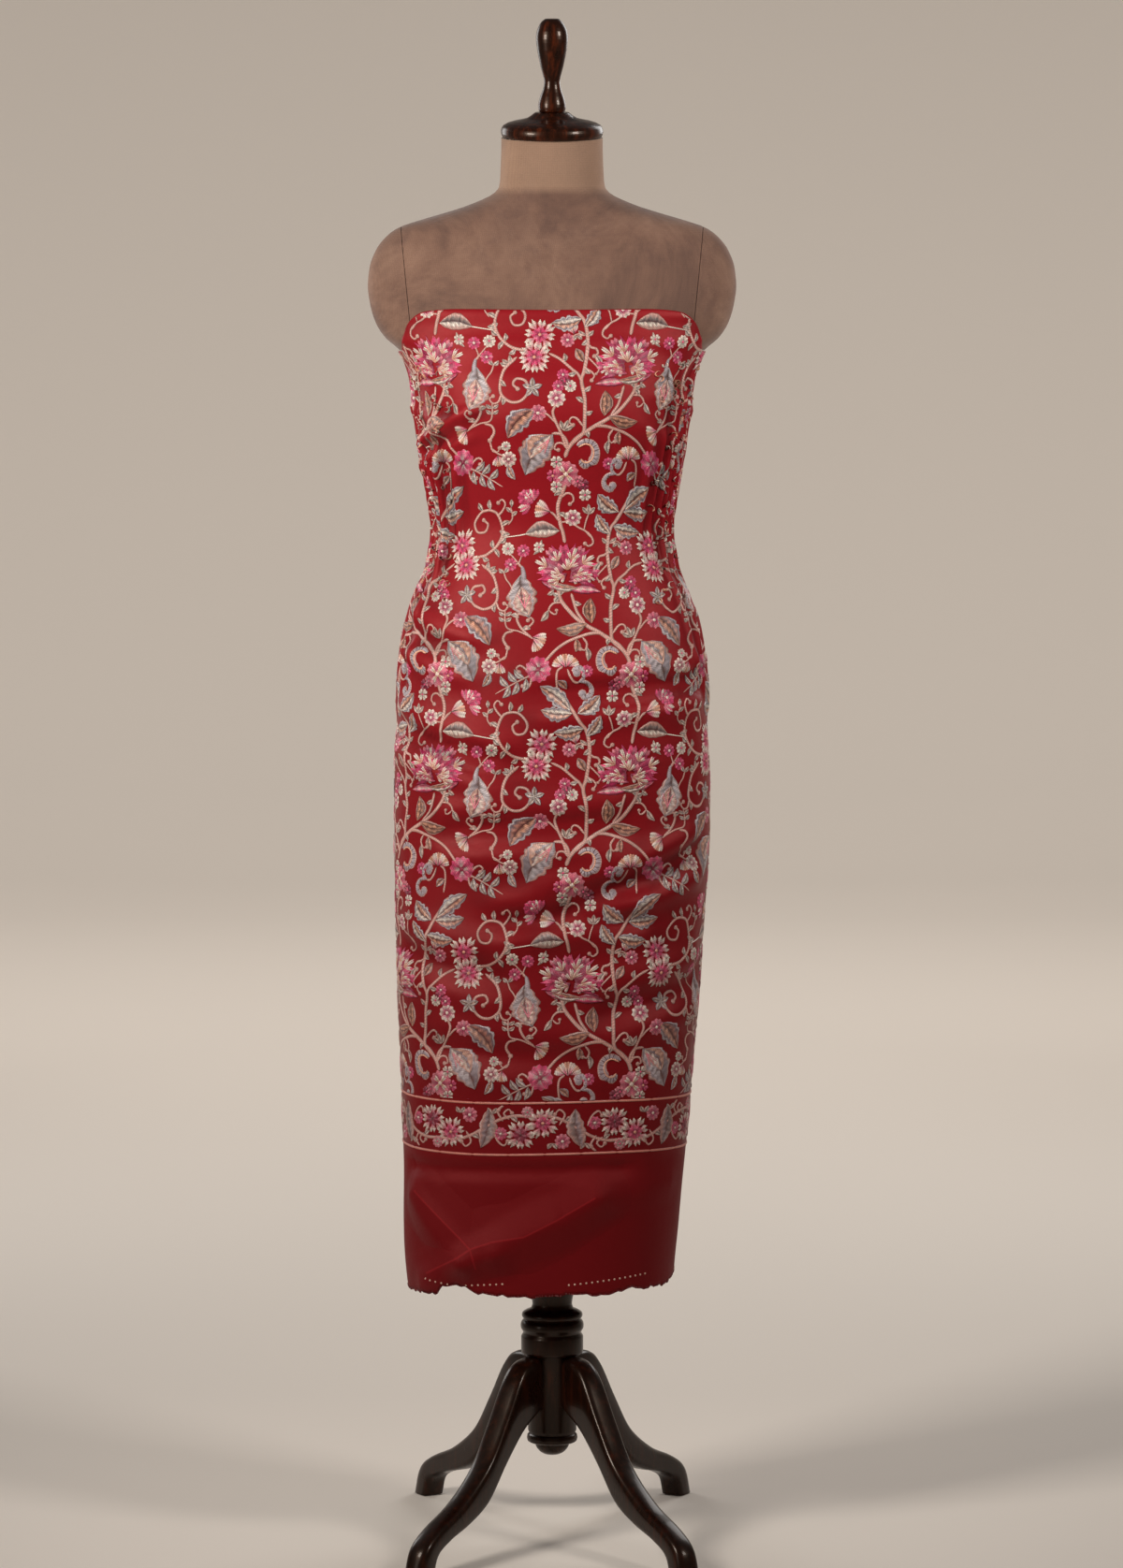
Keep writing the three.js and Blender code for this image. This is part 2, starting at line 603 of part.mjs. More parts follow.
// Column angles: close together where the gathers are, wider elsewhere.
function spread(stops) {
  return stops.flatMap(({ from, to, count }) =>
    Array.from({ length: count }, (_, i) => from + ((to - from) * i) / count),
  );
}
function cloth() {
  const group = new THREE.Group();
  const frontAngles = [
    ...spread([
      { from: -FRONT_EDGE, to: -54, count: 13 },
      { from: -54, to: 52, count: 15 },
      { from: 52, to: FRONT_EDGE, count: 13 },
    ]),
    FRONT_EDGE,
  ];
  const seamDegrees = 0.12; // about 0.3 mm round the outline
  const beside = spread([{ from: 0, to: 0.3, count: 5 }, { from: 0.3, to: 1, count: 6 }]);
  const lapColumns = 8;
  const backColumns = beside.length + lapColumns + 1;
  const backAngle = (side) => (c, z) => {
    const start = FRONT_EDGE + seamDegrees;
    const lap = lapDegrees(z);
    if (c < beside.length) return side * (start + beside[c] * (180 - lap - start));
    return side * (180 - lap + (2 * lap * (c - beside.length)) / lapColumns);
  };
  const step = WALL + LAP.gap;
  const over = (angle) => step * THREE.MathUtils.smoothstep(Math.abs(angle), LAP.easeFrom, LAP.easeTo);
  const front = clothStretch((c) => frontAngles[c], frontAngles.length, () => 0);
  const under = clothStretch(backAngle(1), backColumns, () => 0);
  const outer = clothStretch((c, z) => backAngle(-1)(backColumns - 1 - c, z), backColumns, over);
  group.add(namedMesh("cloth_front", front, SILK));
  group.add(namedMesh("cloth_back_under", under, SILK));
  group.add(namedMesh("cloth_back_over", outer, SILK));
  return group;
}

const part = new THREE.Group();
part.add(stand(), dressForm(), neckTop(), cloth());
export default part;
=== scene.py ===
# An embroidered silk dress cloth wrapped as a strapless column round a dress form on a turned wooden stand.
# It is put together from the floor up: stand, form, cloth, embroidery and the raw lower edge.
import math

import bpy
import numpy as np
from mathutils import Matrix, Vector


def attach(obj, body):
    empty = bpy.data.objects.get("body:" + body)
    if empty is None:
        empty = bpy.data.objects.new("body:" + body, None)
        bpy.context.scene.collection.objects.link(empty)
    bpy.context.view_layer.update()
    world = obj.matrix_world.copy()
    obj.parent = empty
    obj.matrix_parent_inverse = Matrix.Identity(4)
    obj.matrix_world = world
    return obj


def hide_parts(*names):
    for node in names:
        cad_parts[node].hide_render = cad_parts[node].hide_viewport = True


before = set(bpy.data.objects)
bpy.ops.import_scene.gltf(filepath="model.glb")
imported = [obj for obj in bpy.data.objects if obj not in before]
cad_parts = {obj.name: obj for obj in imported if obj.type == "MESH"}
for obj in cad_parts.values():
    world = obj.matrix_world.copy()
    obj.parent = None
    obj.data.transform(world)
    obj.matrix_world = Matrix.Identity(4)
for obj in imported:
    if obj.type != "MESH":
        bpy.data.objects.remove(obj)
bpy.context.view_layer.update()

# The studio: a pale floor that sweeps up far out on every side, a soft light in front on the left, a weaker one on
# the right, two behind for the edges and the back, one low for the legs, and one for the backdrop. The camera
# looks slightly down from six metres away.
view = bpy.data.cameras.new("view")
view.sensor_width = 36
view.lens = 124.8
camera = bpy.data.objects.new("camera", view)
camera.location = (0.0104, -6.0, 1.3254)
camera.rotation_euler = (math.radians(90 - 4.6), 0, 0)
bpy.context.collection.objects.link(camera)
bpy.context.scene.camera = camera
bpy.context.scene.view_settings.view_transform = "Standard"


def soft_light(name, place, aim, size, power, tint=(1, 1, 1), spread=180):
    data = bpy.data.lights.new(name, "AREA")
    data.shape = "RECTANGLE"
    data.size, data.size_y = size
    data.energy = power
    data.color = tint
    data.spread = math.radians(spread)
    lamp = bpy.data.objects.new(name, data)
    lamp.location = place
    lamp.rotation_euler = (Vector(aim) - Vector(place)).to_track_quat("-Z", "Y").to_euler()
    bpy.context.collection.objects.link(lamp)


soft_light("key", (-1.42, -1.26, 1.68), (0, 0, 1.1), (0.55, 0.7), 10.9, (1, 0.955, 0.9), 88)
soft_light("fill", (1.6, -1.15, 1.98), (0, 0, 1.34), (0.5, 0.6), 6.8, (1, 0.955, 0.92), 84)
soft_light("back", (1.5, 2.3, 2.4), (0, 0, 1.1), (1.2, 1.8), 24)
soft_light("back_left", (-2.0, 2.2, 1.9), (0, 0, 1.0), (1.0, 1.6), 17)
soft_light("low", (-1.9, -1.6, 0.8), (0, 0, 0.3), (0.5, 1.0), 1.2, (1, 0.96, 0.92), 120)
soft_light("backdrop", (0, 3.4, 4.4), (0, 9.2, 1.0), (6.0, 1.6), 240, (1, 0.965, 0.93))
world = bpy.data.worlds.new("room")
bpy.context.scene.world = world
world.use_nodes = True
world.node_tree.nodes["Background"].inputs["Color"].default_value = (0.93, 0.9, 0.87, 1)
world.node_tree.nodes["Background"].inputs["Strength"].default_value = 0.12


def colour(red, green, blue):
    """A screen colour, 0 to 255 a channel, as the linear one that a shader takes."""
    part = [v / 255 for v in (red, green, blue)]
    return tuple(v / 12.92 if v < 0.04045 else ((v + 0.055) / 1.055) ** 2.4 for v in part) + (1,)


class Shade:
    """A value in a material's nodes. Python's operators on it add Math nodes."""

    def __init__(self, tree, socket=None):
        self.tree, self.socket = tree, socket

    def node(self, kind, settings=None, inputs=None, output=0):
        """Adds any other node: its settings first, then the values or links of its sockets."""
        made = self.tree.nodes.new(kind)
        for name, value in (settings or {}).items():
            if name == "stops":
                stops = made.color_ramp.elements
                stops[0].position, stops[1].position = value[0][0], value[-1][0]
                for place, _ in value[1:-1]:
                    stops.new(place)
                for stop, (_, shown) in zip(stops, value):
                    stop.color = shown
            else:
                setattr(made, name, value)
        for name, value in (inputs or {}).items():
            if isinstance(value, Shade):
                self.tree.links.new(value.socket, made.inputs[name])
            else:
                made.inputs[name].default_value = value
        return Shade(self.tree, made.outputs[output])

    def math(self, operation, first, second=0.0):
        return self.node("ShaderNodeMath", {"operation": operation}, {0: first, 1: second})

    def mix(self, share, first, second):
        """A colour part of the way from the first to the second."""
        return self.node("ShaderNodeMix", {"data_type": "RGBA"}, {0: share, 6: first, 7: second}, 2)

    def __add__(self, other):
        return self.math("ADD", self, other)

    __radd__ = __add__

    def __sub__(self, other):
        return self.math("SUBTRACT", self, other)

    def __rsub__(self, other):
        return self.math("SUBTRACT", other, self)

    def __mul__(self, other):
        return self.math("MULTIPLY", self, other)

    __rmul__ = __mul__

    def __truediv__(self, other):
        return self.math("DIVIDE", self, other)


def finish_named(name, roughness=0.5, **fixed):
    """A new material: its first shade, to build on, and a call that joins the results to its surface."""
    material = bpy.data.materials.new(name)
    material.use_nodes = True
    tree = material.node_tree
    surface = tree.nodes["Principled BSDF"]
    surface.inputs["Roughness"].default_value = roughness
    for key, value in fixed.items():
        surface.inputs[key.replace("_", " ")].default_value = value

    def join(**results):
        for key, value in results.items():
            tree.links.new(value.socket, surface.inputs[key.replace("_", " ")])

    return material, Shade(tree), join


bpy.ops.object.select_all(action="DESELECT")
flat_reach, wall_height = 7.2, 8.0
bpy.ops.mesh.primitive_plane_add(size=40, location=(0, 0, -0.0012))
floor = bpy.context.object
floor.name = "floor"
bpy.ops.object.mode_set(mode="EDIT")
bpy.ops.mesh.subdivide(number_cuts=59)
bpy.ops.object.mode_set(mode="OBJECT")
for vertex in floor.data.vertices:
    beyond = max(0.0, math.hypot(vertex.co.x, vertex.co.y) - flat_reach)
    vertex.co.z += min(beyond**2 * 0.22, wall_height)
bpy.ops.object.transform_apply(location=True, rotation=True, scale=True)
floor.data.polygons.foreach_set("use_smooth", [True] * len(floor.data.polygons))
floor_paint, shade, join = finish_named("floor_paint", 0.7)
patches = shade.node("ShaderNodeTexNoise", {}, {"Scale": 0.8, "Detail": 3.0})
join(Base_Color=shade.mix(patches * 0.5, colour(238, 228, 217), colour(230, 219, 207)))
floor.data.materials.append(floor_paint)

# The stand's column is one piece of dark hardwood, turned on a lathe: a coved collar over a ring, a bead and a
# short drum, a plain shaft that the legs are let into, and a disc with a half-ball drop at its foot. The wood is
# stained nearly black and gloss varnished.
wood, shade, join = finish_named("dark_wood", 0.2, Coat_Weight=0.14, Coat_Roughness=0.06, Specular_IOR_Level=0.22)
wood.node_tree.nodes["Principled BSDF"].inputs["Specular Tint"].default_value = (1, 0.78, 0.62, 1)
place = shade.node("ShaderNodeTexCoord", {}, {}, 3)
stretched = shade.node("ShaderNodeMapping", {}, {"Vector": place, "Scale": (1, 1, 0.14)})
grain = shade.node("ShaderNodeTexNoise", {}, {"Vector": stretched, "Scale": 150.0, "Detail": 6.0, "Roughness": 0.62})
clouds = shade.node("ShaderNodeTexNoise", {}, {"Vector": place, "Scale": 16.0, "Detail": 3.0})
lit = shade.node(
    "ShaderNodeValToRGB",
    {"stops": [(0.32, colour(18, 7, 4)), (0.52, colour(44, 17, 8)), (0.72, colour(96, 40, 18))]},
    {"Fac": grain},
)
# the wood is painted darker towards the bottom as painted shade, where the light falls off downwards; the cloudy
# blotches are the stain's own
low = shade.node("ShaderNodeMapRange", {}, {"Value": shade.node("ShaderNodeSeparateXYZ", {}, {"Vector": place}, 2),
                 "From Min": 0.3, "From Max": 1.5, "To Min": 0.62, "To Max": 0.2})
blotches_and_painted_shade = shade.mix(low + clouds * 0.3, lit, colour(19, 8, 4))
shine = 0.18 + clouds * 0.16 + grain * 0.06
relief = shade.node("ShaderNodeBump", {}, {"Strength": 0.12, "Distance": 0.0004, "Height": grain})
join(Base_Color=blotches_and_painted_shade, Roughness=shine, Normal=relief)


def turned(name, outline, steps=72):
    """A body turned about +Z through (radius, height) points, in millimetres."""
    bpy.ops.object.select_all(action="DESELECT")
    mesh = bpy.data.meshes.new(name)
    points = [(r / 1000, 0, z / 1000) for r, z in outline]
    mesh.from_pydata(points, [(i, i + 1) for i in range(len(points) - 1)], [])
    body = bpy.data.objects.new(name, mesh)
    bpy.context.collection.objects.link(body)
    bpy.context.view_layer.objects.active = body
    body.select_set(True)
    bpy.ops.object.mode_set(mode="EDIT")
    bpy.ops.mesh.select_all(action="SELECT")
    bpy.ops.mesh.spin(steps=steps, angle=2 * math.pi, center=(0, 0, 0), axis=(0, 0, 1))
    bpy.ops.mesh.select_all(action="SELECT")
    bpy.ops.mesh.remove_doubles(threshold=1e-6)
    bpy.ops.mesh.normals_make_consistent(inside=False)
    bpy.ops.object.mode_set(mode="OBJECT")
    bpy.ops.object.shade_smooth_by_angle(angle=math.radians(38))
    return body


def rounded(corners, radius=0.9, steps=3):
    """The outline with its sharp inner corners cut to small arcs, as sandpaper leaves them."""
    kept = [corners[0]]
    for before, corner, after in zip(corners, corners[1:], corners[2:]):
        a, c, b = (np.array(p, float) for p in (before, corner, after))
        to_a, to_b = a - c, b - c
        reach = min(radius, 0.4 * np.hypot(*to_a), 0.4 * np.hypot(*to_b))
        start = c + to_a / np.hypot(*to_a) * reach
        end = c + to_b / np.hypot(*to_b) * reach
        for t in np.linspace(0, 1, steps):
            kept.append(tuple((1 - t) ** 2 * start + 2 * t * (1 - t) * c + t**2 * end))
    return kept + [corners[-1]]


column = turned(
    "stand_column",
    rounded(
        [
            (0, 90.5), (5, 90.8), (9, 91.7), (12.4, 93.4), (15, 95.6), (17.1, 98.2), (18.6, 101), (19.2, 105),
            (25.5, 105.4), (27.6, 106.8), (28.3, 110.4), (27.6, 114), (25.5, 115.6), (27, 118.6), (27, 204.6),
            (33, 205.2), (34.6, 207.4), (34.7, 225), (32.2, 229), (33.2, 231.4), (34.9, 234), (35.3, 237.2),
            (34.8, 240.4), (33.2, 242.9), (31.3, 244.6), (33.4, 246.4), (34, 249), (33.2, 251.6), (28.5, 254.4),
            (23.8, 256), (22.1, 261), (22.6, 266), (23.7, 271), (25.2, 277), (25.8, 285), (25, 294), (22.5, 300),
            (0, 300),
        ]
    ),
)
column.data.materials.append(wood)
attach(column, "stand")
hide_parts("column")

# Four curved legs, sawn from plank, rounded along their upper edges and let into the column. A front and a back
# pair each spring close together. Varnished like the column.
leg_rows = [
    # distance and height of the upper edge, then of the lower edge
    (8, 204.7, 8, 153),
    (48, 203, 44, 138),
    (71, 188, 70, 124),
    (101, 147, 104, 95),
    (138, 102, 140, 60),
    (190, 69, 176, 44),
    (240, 49, 214, 34),
    (267, 31, 241, 22),
    (279, 0, 251, 0),
]


def through(points, count):
    """A smooth line through the points, with this many pieces, as rows of an array."""
    points = np.array(points, float)
    padded = np.vstack([2 * points[0] - points[1], points, 2 * points[-1] - points[-2]])
    at = np.linspace(0, len(points) - 1, count + 1)
    i = np.minimum(at.astype(int), len(points) - 2)
    t = (at - i)[:, None]
    a, b, c, d = (padded[i + k] for k in range(4))
    return 0.5 * (2 * b + (c - a) * t + (2 * a - 5 * b + 4 * c - d) * t**2 + (3 * b - a - 3 * c + d) * t**3)


def lofted(name, rings):
    """A skin over rings of equal count, given in metres, with a fan at each end."""
    rings = [np.asarray(ring) for ring in rings]
    count = len(rings[0])
    points = np.vstack(rings)
    faces = []
    for row in range(len(rings) - 1):
        for i in range(count):
            a, b = row * count + i, row * count + (i + 1) % count
            faces.append((a, b, b + count, a + count))
    points = np.vstack([points, rings[0].mean(0), rings[-1].mean(0)])
    low, high, top = len(points) - 2, len(points) - 1, (len(rings) - 1) * count
    faces += [(low, (i + 1) % count, i) for i in range(count)]
    faces += [(high, top + i, top + (i + 1) % count) for i in range(count)]
    mesh = bpy.data.meshes.new(name)
    mesh.from_pydata(points.tolist(), [], faces)
    mesh.polygons.foreach_set("use_smooth", [True] * len(mesh.polygons))
    body = bpy.data.objects.new(name, mesh)
    bpy.context.collection.objects.link(body)
    return body


def leg_ring(low, high):
    """The leg's rounded section between two points of its edges: side, height and distance."""
    tall = np.hypot(*(high - low))
    half = [(6, 0.0), (11, 0.8), (13.1, 3.2), (13.5, 7), (13.5, 0.5 * tall), (13.3, tall - 8.5), (12.2, tall - 4.6)]
    half += [(10, tall - 1.9), (5.5, tall - 0.3)]
    whole = half + [(-side, up) for side, up in reversed(half)]
    return [(*(low + (high - low) * up / tall), side) for side, up in whole]


upper = through([row[:2] for row in leg_rows], 44)
lower = through([row[2:] for row in leg_rows], 44)
# the leg's inner end stops inside the column, and the toe's last section lies on the floor
sections = np.array([leg_ring(low, high) for low, high in zip(lower, upper)])
leg_offset = 9  # each leg passes beside the column's axis on its own side
for name, turn, aside in (("front_left", -121.05, -leg_offset), ("front_right", -58.95, leg_offset),
                          ("back_right", 58.95, -leg_offset), ("back_left", 121.05, leg_offset)):
    out = np.array([math.cos(math.radians(turn)), math.sin(math.radians(turn))])
    side = np.array([-out[1], out[0]])
    rings = []
    for section in sections:
        level = section[:, :1] * out + (section[:, 2:] + aside) * side
        rings.append(np.column_stack([level, section[:, 1]]) / 1000)
    leg = lofted("stand_leg_" + name, rings)
    bpy.context.view_layer.objects.active = leg
    leg.select_set(True)
    bpy.ops.object.shade_smooth_by_angle(angle=math.radians(50))
    leg.select_set(False)
    leg.data.materials.append(wood)
    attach(leg, "stand")
    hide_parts("leg_" + name)

# The pole runs up inside the hanging cloth and carries the form on a plate. It is steel, painted black. The
# solid's own shape is kept and only gets its paint.
enamel, shade, join = finish_named("pole_enamel", 0.42, Metallic=0.0)
speck = shade.node("ShaderNodeTexNoise", {}, {"Scale": 240.0, "Detail": 4.0})
join(Base_Color=shade.mix(speck, colour(26, 25, 25), colour(48, 46, 44)), Roughness=0.34 + speck * 0.2)
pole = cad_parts["pole"]
pole.data.materials.clear()
pole.data.materials.append(enamel)

# The dress form is a moulded shell padded tight with wadding and covered in brown linen, cut in panels: a centre
# front seam, a seam over each bust, an armhole seam round each shoulder cap and one round the base of the neck.
# The linen is worn and stained.
form_rows = np.array([
    # height, half width, depth forwards, depth backwards, squareness
    (694, 141, 85, 99, 2.3), (700, 153, 94, 109, 2.3), (722, 162, 101, 118, 2.3), (780, 169.5, 108, 125, 2.3),
    (850, 170.5, 110, 126, 2.3), (900, 168, 109.5, 122.5, 2.3), (960, 165, 106, 113.5, 2.3),
    (1010, 158.5, 100, 104.5, 2.3), (1050, 147.5, 95, 97.5, 2.25), (1085, 130.5, 91, 92.5, 2.2),
    (1124, 122.5, 89, 90, 2.2), (1170, 128.5, 97, 91, 2.25), (1215, 136, 110, 94.5, 2.35),
    (1255, 142, 119, 98.5, 2.4), (1290, 150, 114, 102, 2.4), (1308, 157, 106, 103, 2.35),
    (1322, 168, 101.5, 103, 2.25), (1336, 184, 98, 102, 2.15), (1352, 194, 94.5, 101.5, 2.1),
    (1372, 200, 89.5, 100.5, 2.1), (1392, 202.5, 84, 99, 2.1), (1412, 200.5, 78, 96, 2.1),
    (1432, 193, 71, 91, 2.1), (1446, 182, 65.5, 85, 2.15), (1456, 168, 61, 79, 2.2), (1463, 148, 57.5, 73, 2.2),
    (1470, 124, 55.5, 68, 2.15), (1478, 98, 54, 62, 2.1), (1486, 77.5, 53, 57.5, 2.05), (1493, 64, 52.5, 54, 2),
    (1500, 58.3, 51.8, 52.4, 2), (1508, 57, 51.4, 51.8, 2), (1554, 55.5, 50.5, 50.5, 2),
])


def eased(rows, place):
    """Smooth values of a table's other columns at places in its first, without overshoot."""
    at = rows[:, 0]
    step = np.diff(at)[:, None]
    rise = np.diff(rows[:, 1:], axis=0) / step
    both = rise[:-1] * rise[1:]
    slope = np.zeros_like(rows[:, 1:])
    slope[1:-1] = np.where(both > 0, 2 * both / np.where(both > 0, rise[:-1] + rise[1:], 1), 0)
    place = np.clip(np.asarray(place, float), at[0], at[-1])
    i = np.clip(np.searchsorted(at, place, side="right") - 1, 0, len(at) - 2)
    t = ((place - at[i]) / step[i, 0])[..., None]
    rest = 1 - t
    value = rows[i, 1:] * rest**2 * (1 + 2 * t) + rows[i + 1, 1:] * t**2 * (3 - 2 * t)
    return value + step[i] * t * rest * (slope[i] * rest - slope[i + 1] * t)


def outline(rows, angle, height):
    """Points on the rounded outline: angle in degrees from the centre front, towards +X."""
    half, front, back, square = np.moveaxis(eased(rows, height), -1, 0)
    across, ahead = np.sin(np.radians(angle)), np.cos(np.radians(angle))
    power = 2 / square
    x = half * np.sign(across) * np.abs(across) ** power
    y = -np.where(ahead > 0, front, back) * np.sign(ahead) * np.abs(ahead) ** power
    return np.stack([x, y, np.broadcast_to(height, x.shape)], -1)


def lean(points):
    """The neck bends forwards by seven degrees above the shoulders."""
    share = np.clip((points[..., 2] - 1480) / 45, 0, 1)
    turn = math.radians(7) * share * share * (3 - 2 * share)
    y, rise = points[..., 1], points[..., 2] - 1480
    return np.stack(
        [points[..., 0], y * np.cos(turn) - rise * np.sin(turn), 1480 + y * np.sin(turn) + rise * np.cos(turn)], -1
    )


linen, shade, join = finish_named("form_linen", 0.86, Sheen_Weight=0.12)
place = shade.node("ShaderNodeTexCoord", {}, {}, 3)
x, y, z = (shade.node("ShaderNodeSeparateXYZ", {}, {"Vector": place}, k) for k in range(3))
slub = shade.node("ShaderNodeTexNoise", {}, {"Vector": place, "Scale": 420.0, "Detail": 2.0})
blot = shade.node("ShaderNodeTexNoise", {},
                  {"Vector": place, "Scale": 7.5, "Detail": 6.0, "Roughness": 0.66, "Distortion": 0.6})
stain = shade.node("ShaderNodeTexNoise", {}, {"Vector": place, "Scale": 26.0, "Detail": 5.0, "Roughness": 0.72})
weft = shade.math("SINE", z * 3400.0 + slub * 7.0)
warp = shade.math("SINE", x * 3400.0 + y * 1500.0 + slub * 7.0)
weave = weft * 0.3 + warp * 0.3 + slub * 0.7
ground = shade.node(
    "ShaderNodeValToRGB",
    {"stops": [(0.3, colour(78, 53, 43)), (0.45, colour(112, 81, 65)), (0.57, colour(129, 97, 79)),
               (0.7, colour(156, 123, 101))]},
    {"Fac": blot},
)
hung = shade.node("ShaderNodeMapping", {}, {"Vector": place, "Scale": (1, 1, 0.3)})
run_down = shade.node("ShaderNodeTexNoise", {}, {"Vector": hung, "Scale": 11.0, "Detail": 4.0, "Roughness": 0.6})
streaks = shade.node("ShaderNodeValToRGB", {"stops": [(0.5, (0, 0, 0, 1)), (0.66, (1, 1, 1, 1))]}, {"Fac": run_down})
spots = shade.node("ShaderNodeValToRGB", {"stops": [(0.54, (0, 0, 0, 1)), (0.68, (1, 1, 1, 1))]}, {"Fac": stain})
marked = shade.mix(spots * 0.36 + streaks * 0.3, ground, colour(84, 58, 49))
# the neck's cover is newer and lighter than the body's
neck = shade.node("ShaderNodeMapRange", {},
                  {"Value": z, "From Min": 1.49, "From Max": 1.5, "To Min": 0.0, "To Max": 0.55})
lighter = shade.mix(neck, marked, colour(166, 134, 109))
speckled = shade.mix(weave * 0.2, lighter, colour(66, 48, 40))
relief = shade.node("ShaderNodeBump", {}, {"Strength": 0.35, "Distance": 0.0005, "Height": weave})
join(Base_Color=speckled, Normal=relief)


heights = np.concatenate([np.arange(694, 1322, 9.0), np.arange(1322, 1500, 4.0), np.arange(1500, 1556, 6.0)])
heights = np.unique(heights)
around = np.linspace(0, 360, 180, endpoint=False)
skin = lean(outline(form_rows, around[None, :], heights[:, None]))


def seam_dip(points):
    """How deep the sewn seams pull the linen in, in millimetres."""
    x, y, z = np.moveaxis(points, -1, 0)
    chest = (y < 0) & (z < 1478)
    shoulder = np.clip((z - 1255) / 200, 0, 1)
    bust = 86 + 32 * np.clip(shoulder, 0, 1) ** 1.4
    centre = np.exp(-((x / 1.3) ** 2)) * (y < 0) * (z > 694) * (z < 1478)
    princess = np.exp(-(((np.abs(x) - bust) / 1.4) ** 2)) * chest * (z > 1180)
    behind = np.exp(-((x / 1.3) ** 2)) * (y > 0) * (z < 1478)
    neck_line = 1478 + np.where(y < 0, -14.0 * np.clip(1 - (x / 62) ** 2, 0, 1), 2.0)
    collar = np.exp(-(((z - neck_line) / 1.6) ** 2)) * (np.hypot(x, y) < 74)
    return 0.9 * (centre + princess + behind) + 1.1 * collar


around_step = np.roll(skin, -1, 1) - np.roll(skin, 1, 1)
upward = np.gradient(skin, axis=0)
facing = np.cross(around_step, upward)
facing /= np.linalg.norm(facing, axis=-1, keepdims=True) + 1e-9
skin = skin - facing * seam_dip(skin)[..., None]


def armhole_x(height):
    return 156 + (height - 1364) * 10 / 97


def bay(name, side, inset):
    """The block of space that a shoulder cap takes, as a cutter."""
    inner = lambda height: (armhole_x(height) + inset) / 1000
    low, high = 1.3215 + inset / 1000, 1.62
    corners = [(inner(low * 1000), low), (0.4, low), (0.4, high), (inner(high * 1000), high)]
    ring = lambda y: [(side * x, y, z) for x, z in corners]
    mesh = bpy.data.meshes.new(name)
    faces = [(0, 1, 2, 3), (7, 6, 5, 4), (0, 4, 5, 1), (1, 5, 6, 2), (2, 6, 7, 3), (3, 7, 4, 0)]
    if side < 0:
        faces = [tuple(reversed(face)) for face in faces]
    mesh.from_pydata(ring(-0.3) + ring(0.3), [], faces)
    block = bpy.data.objects.new(name, mesh)
    bpy.context.collection.objects.link(block)
    return block


def carve(body, cutter, operation):
    bpy.ops.object.select_all(action="DESELECT")
    bpy.context.view_layer.objects.active = body
    body.select_set(True)
    cut = body.modifiers.new("cut", "BOOLEAN")
    cut.operation, cut.object, cut.solver = operation, cutter, "EXACT"
    bpy.ops.object.modifier_apply(modifier="cut")
    bpy.data.objects.remove(cutter)


torso = lofted("form_torso", skin / 1000)
for side in (-1, 1):
    carve(torso, bay("bay", side, -0.3), "DIFFERENCE")
caps = []
for name, side in (("form_cap_left", -1), ("form_cap_right", 1)):
    cap = lofted(name, skin / 1000)
    carve(cap, bay("bay", side, 0.3), "INTERSECT")
    caps.append(cap)
for piece, node in ((torso, "torso"), (caps[0], "shoulder_cap_left"), (caps[1], "shoulder_cap_right")):
    bpy.ops.object.select_all(action="DESELECT")
    bpy.context.view_layer.objects.active = piece
    piece.select_set(True)
    bpy.ops.object.shade_smooth_by_angle(angle=math.radians(42))
    edge = piece.modifiers.new("seam", "BEVEL")
    edge.width, edge.segments, edge.limit_method, edge.angle_limit = 0.0016, 3, "ANGLE", math.radians(42)
    bpy.ops.object.modifier_apply(modifier="seam")
    piece.data.materials.clear()
    piece.data.materials.append(linen)
    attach(piece, "form")
    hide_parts(node)

# A turned wooden cap closes the neck, and a long pear-shaped finial stands in it. Both are the column's stained
# hardwood and lean forwards with the neck.
neck_top = lean(np.array([0.0, 0.0, 1554.3]))


def stood_on_neck(body, rise):
    """Moves a turned piece's mesh from the origin to its place above the neck, leaning as the neck does."""
    turn = math.radians(7)
    for vertex in body.data.vertices:
        x, y, z = vertex.co.x, vertex.co.y, vertex.co.z + rise / 1000
        vertex.co = (
            x,
            y * math.cos(turn) - z * math.sin(turn) + neck_top[1] / 1000,
            y * math.sin(turn) + z * math.cos(turn) + neck_top[2] / 1000,
        )


cap_outline = [(0, 0), (53.2, 0), (55, 1.6), (56, 5), (56, 8), (55.2, 11), (53.4, 13.4), (49, 15.8), (42, 17.9)]
cap_outline += [(34, 19.5), (28, 21), (24.4, 23), (21.4, 25.2), (18.5, 27.4), (0, 27.4)]
finial_outline = [(0, 0), (13.2, 0), (14.6, 2), (15.2, 5.5), (15, 9.5), (14, 13.5), (12.8, 17.5), (11, 22)]
finial_outline += [(9.7, 26), (8.9, 30), (8.7, 34), (9.3, 38), (10.6, 42.5), (12.9, 51), (14.7, 59.5), (16.3, 67.7)]
finial_outline += [(17.3, 76), (17.5, 80), (17.3, 84.2), (16.4, 88.6), (14.9, 92.5), (13, 96), (10.8, 98.8)]
finial_outline += [(7.5, 101.2), (4, 101.4), (0, 101.4)]
for name, shape, rise, node in (
    ("neck_cap_wood", rounded(cap_outline, 0.6), 0, "neck_cap"),
    ("finial_wood", rounded(finial_outline, 0.5), 27.7, "finial"),
):
    body = turned(name, shape, 64)
    stood_on_neck(body, rise)
    body.data.materials.append(wood)
    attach(body, "form")
    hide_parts(node)

